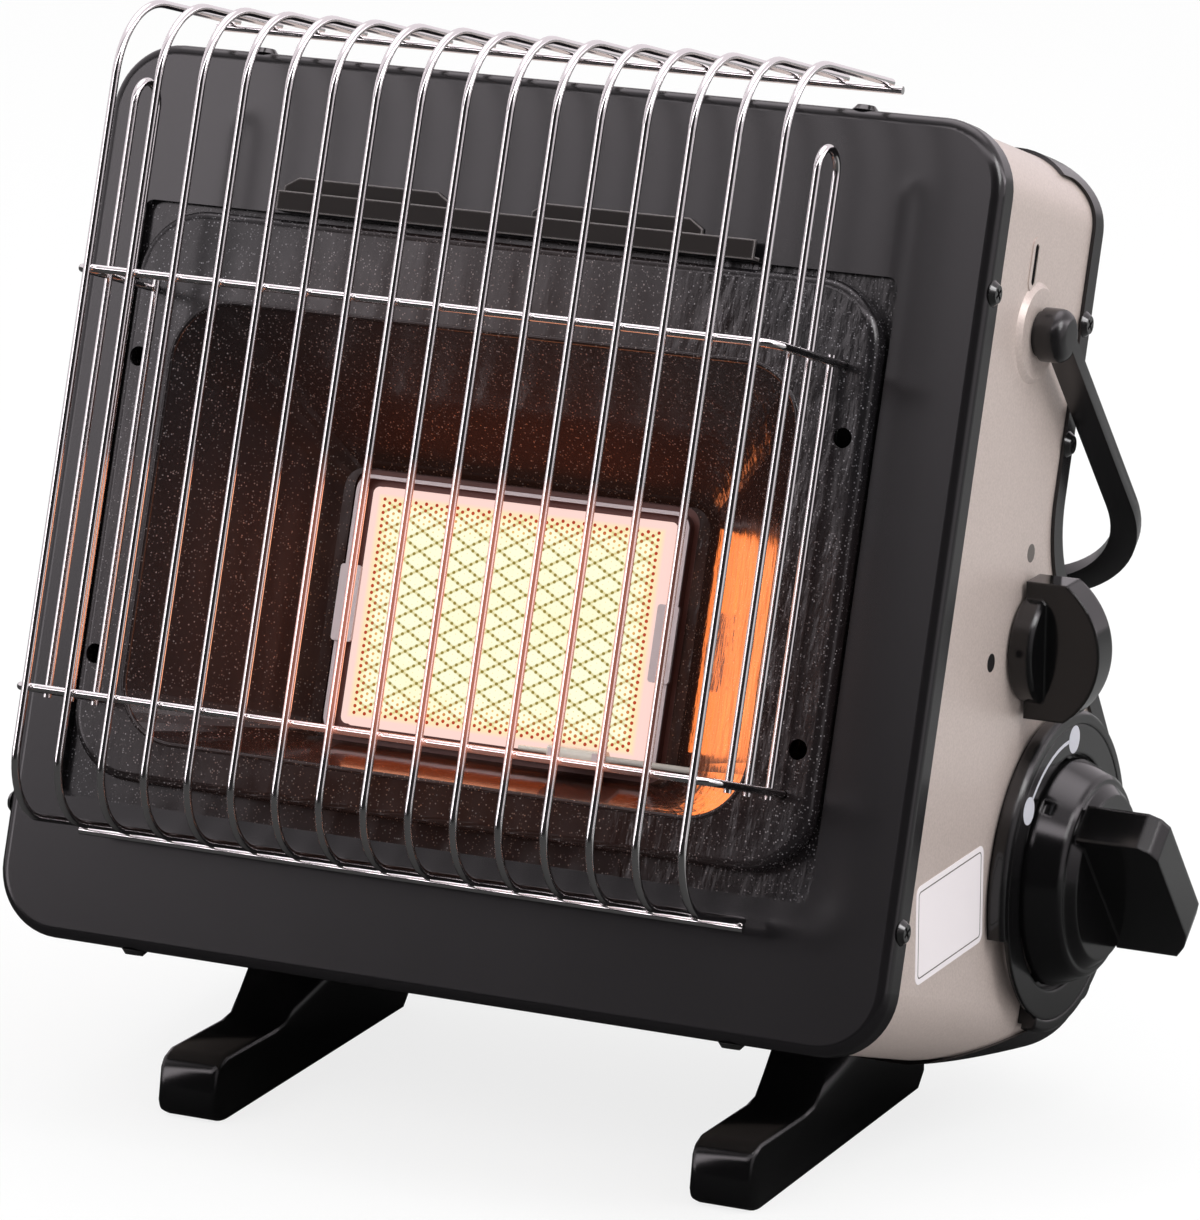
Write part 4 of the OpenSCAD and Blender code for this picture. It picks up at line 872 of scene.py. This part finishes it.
soft = backdrop(wt.nodes["Background"], (1, 1, 1, 1), stageLook["worldLevel"])
plain = backdrop(wt.nodes.new("ShaderNodeBackground"), (1, 1, 1, 1), 1.0)
gloss = backdrop(wt.nodes.new("ShaderNodeBackground"), stageLook["glossColour"], 1.0)
wCoord = addNode(wt, "TexCoord")
around = mapRange(wt, towards(stageLook["frontWay"]), 0.25, 0.62, stageLook["glossSide"],
                  stageLook["glossFront"])
above = towards(stageLook["brightWay"])
rise = mapRange(wt, above, -0.002, 0.045, 0.0, stageLook["glossBright"])
fall = mapRange(wt, above, 0.15, 0.25, 1.0, 0.0)
roof = mapRange(wt, towards(stageLook["roofWay"]), 0.80, 0.95, 0.0, stageLook["glossTop"])
glossSky = mathNode(wt, "MAXIMUM", mathNode(wt, "MAXIMUM", around, roof),
                    mathNode(wt, "MULTIPLY", rise, fall))
wt.links.new(glossSky, gloss.inputs["Strength"])
path = wt.nodes.new("ShaderNodeLightPath")
seen = mathNode(wt, "MAXIMUM", path.outputs["Is Camera Ray"], path.outputs["Is Transmission Ray"])
first = addNode(wt, "MixShader", None, i0=path.outputs["Is Glossy Ray"], i1=soft.outputs[0],
                i2=gloss.outputs[0])
pick = addNode(wt, "MixShader", None, i0=seen, i1=first.outputs[0], i2=plain.outputs[0])
wt.links.new(pick.outputs[0], wt.nodes["World Output"].inputs["Surface"])


def softLamp(name, place, target, size, level, colour=(1, 1, 1)):
    lamp = bpy.data.lights.new(name, "AREA")
    lamp.shape = "RECTANGLE"
    lamp.size, lamp.size_y = size
    lamp.energy = level * 4 * size[0] * size[1]  # level is the brightness of its face
    lamp.color = colour
    obj = bpy.data.objects.new(name, lamp)
    bpy.context.scene.collection.objects.link(obj)
    obj.location = place
    obj.rotation_euler = (Vector(target) - Vector(place)).to_track_quat("-Z", "Y").to_euler()
    obj.visible_camera = False
    return obj


middle = (0, 0, 0.15)
for name, place, size, level, mirrored in (
        ("panelLamp", (-0.95, -1.35, 1.25), (1.1, 0.7), 2.2, False),
        ("topLamp", (0.1, 0.3, 1.7), (1.4, 1.0), 0.9, False),
        ("sideLamp", (0.82, -0.05, 0.80), (0.42, 0.42), 5.2, True)):
    softLamp(name, place, middle, size, level).visible_glossy = mirrored
# the heat of the burner, seen in what stands round it
warmth = {"size": (0.088, 0.063), "level": 0.9, "colour": (1.0, 0.48, 0.30), "gap": 1.0}
dishWarmth = {"place": (0.5, 26.2, 104), "size": (0.103, 0.060), "level": 6.2,
              "colour": (1.0, 0.235, 0.055)}
glowAt = casePoint(burnerPlace[0], burnerPlace[1] - warmth["gap"], burnerPlace[2])
softLamp("burnerWarmth", glowAt, glowAt - caseBack, warmth["size"], warmth["level"],
         warmth["colour"])
dishAt = casePoint(*dishWarmth["place"])
dishLamp = softLamp("dishGlow", dishAt, dishAt - caseBack, dishWarmth["size"],
                    dishWarmth["level"], dishWarmth["colour"])
dishOnly = bpy.data.collections.new("dishOnly")
dishOnly.objects.link(nodes["reflector"])
dishLamp.light_linking.receiver_collection = dishOnly
print("stage set")
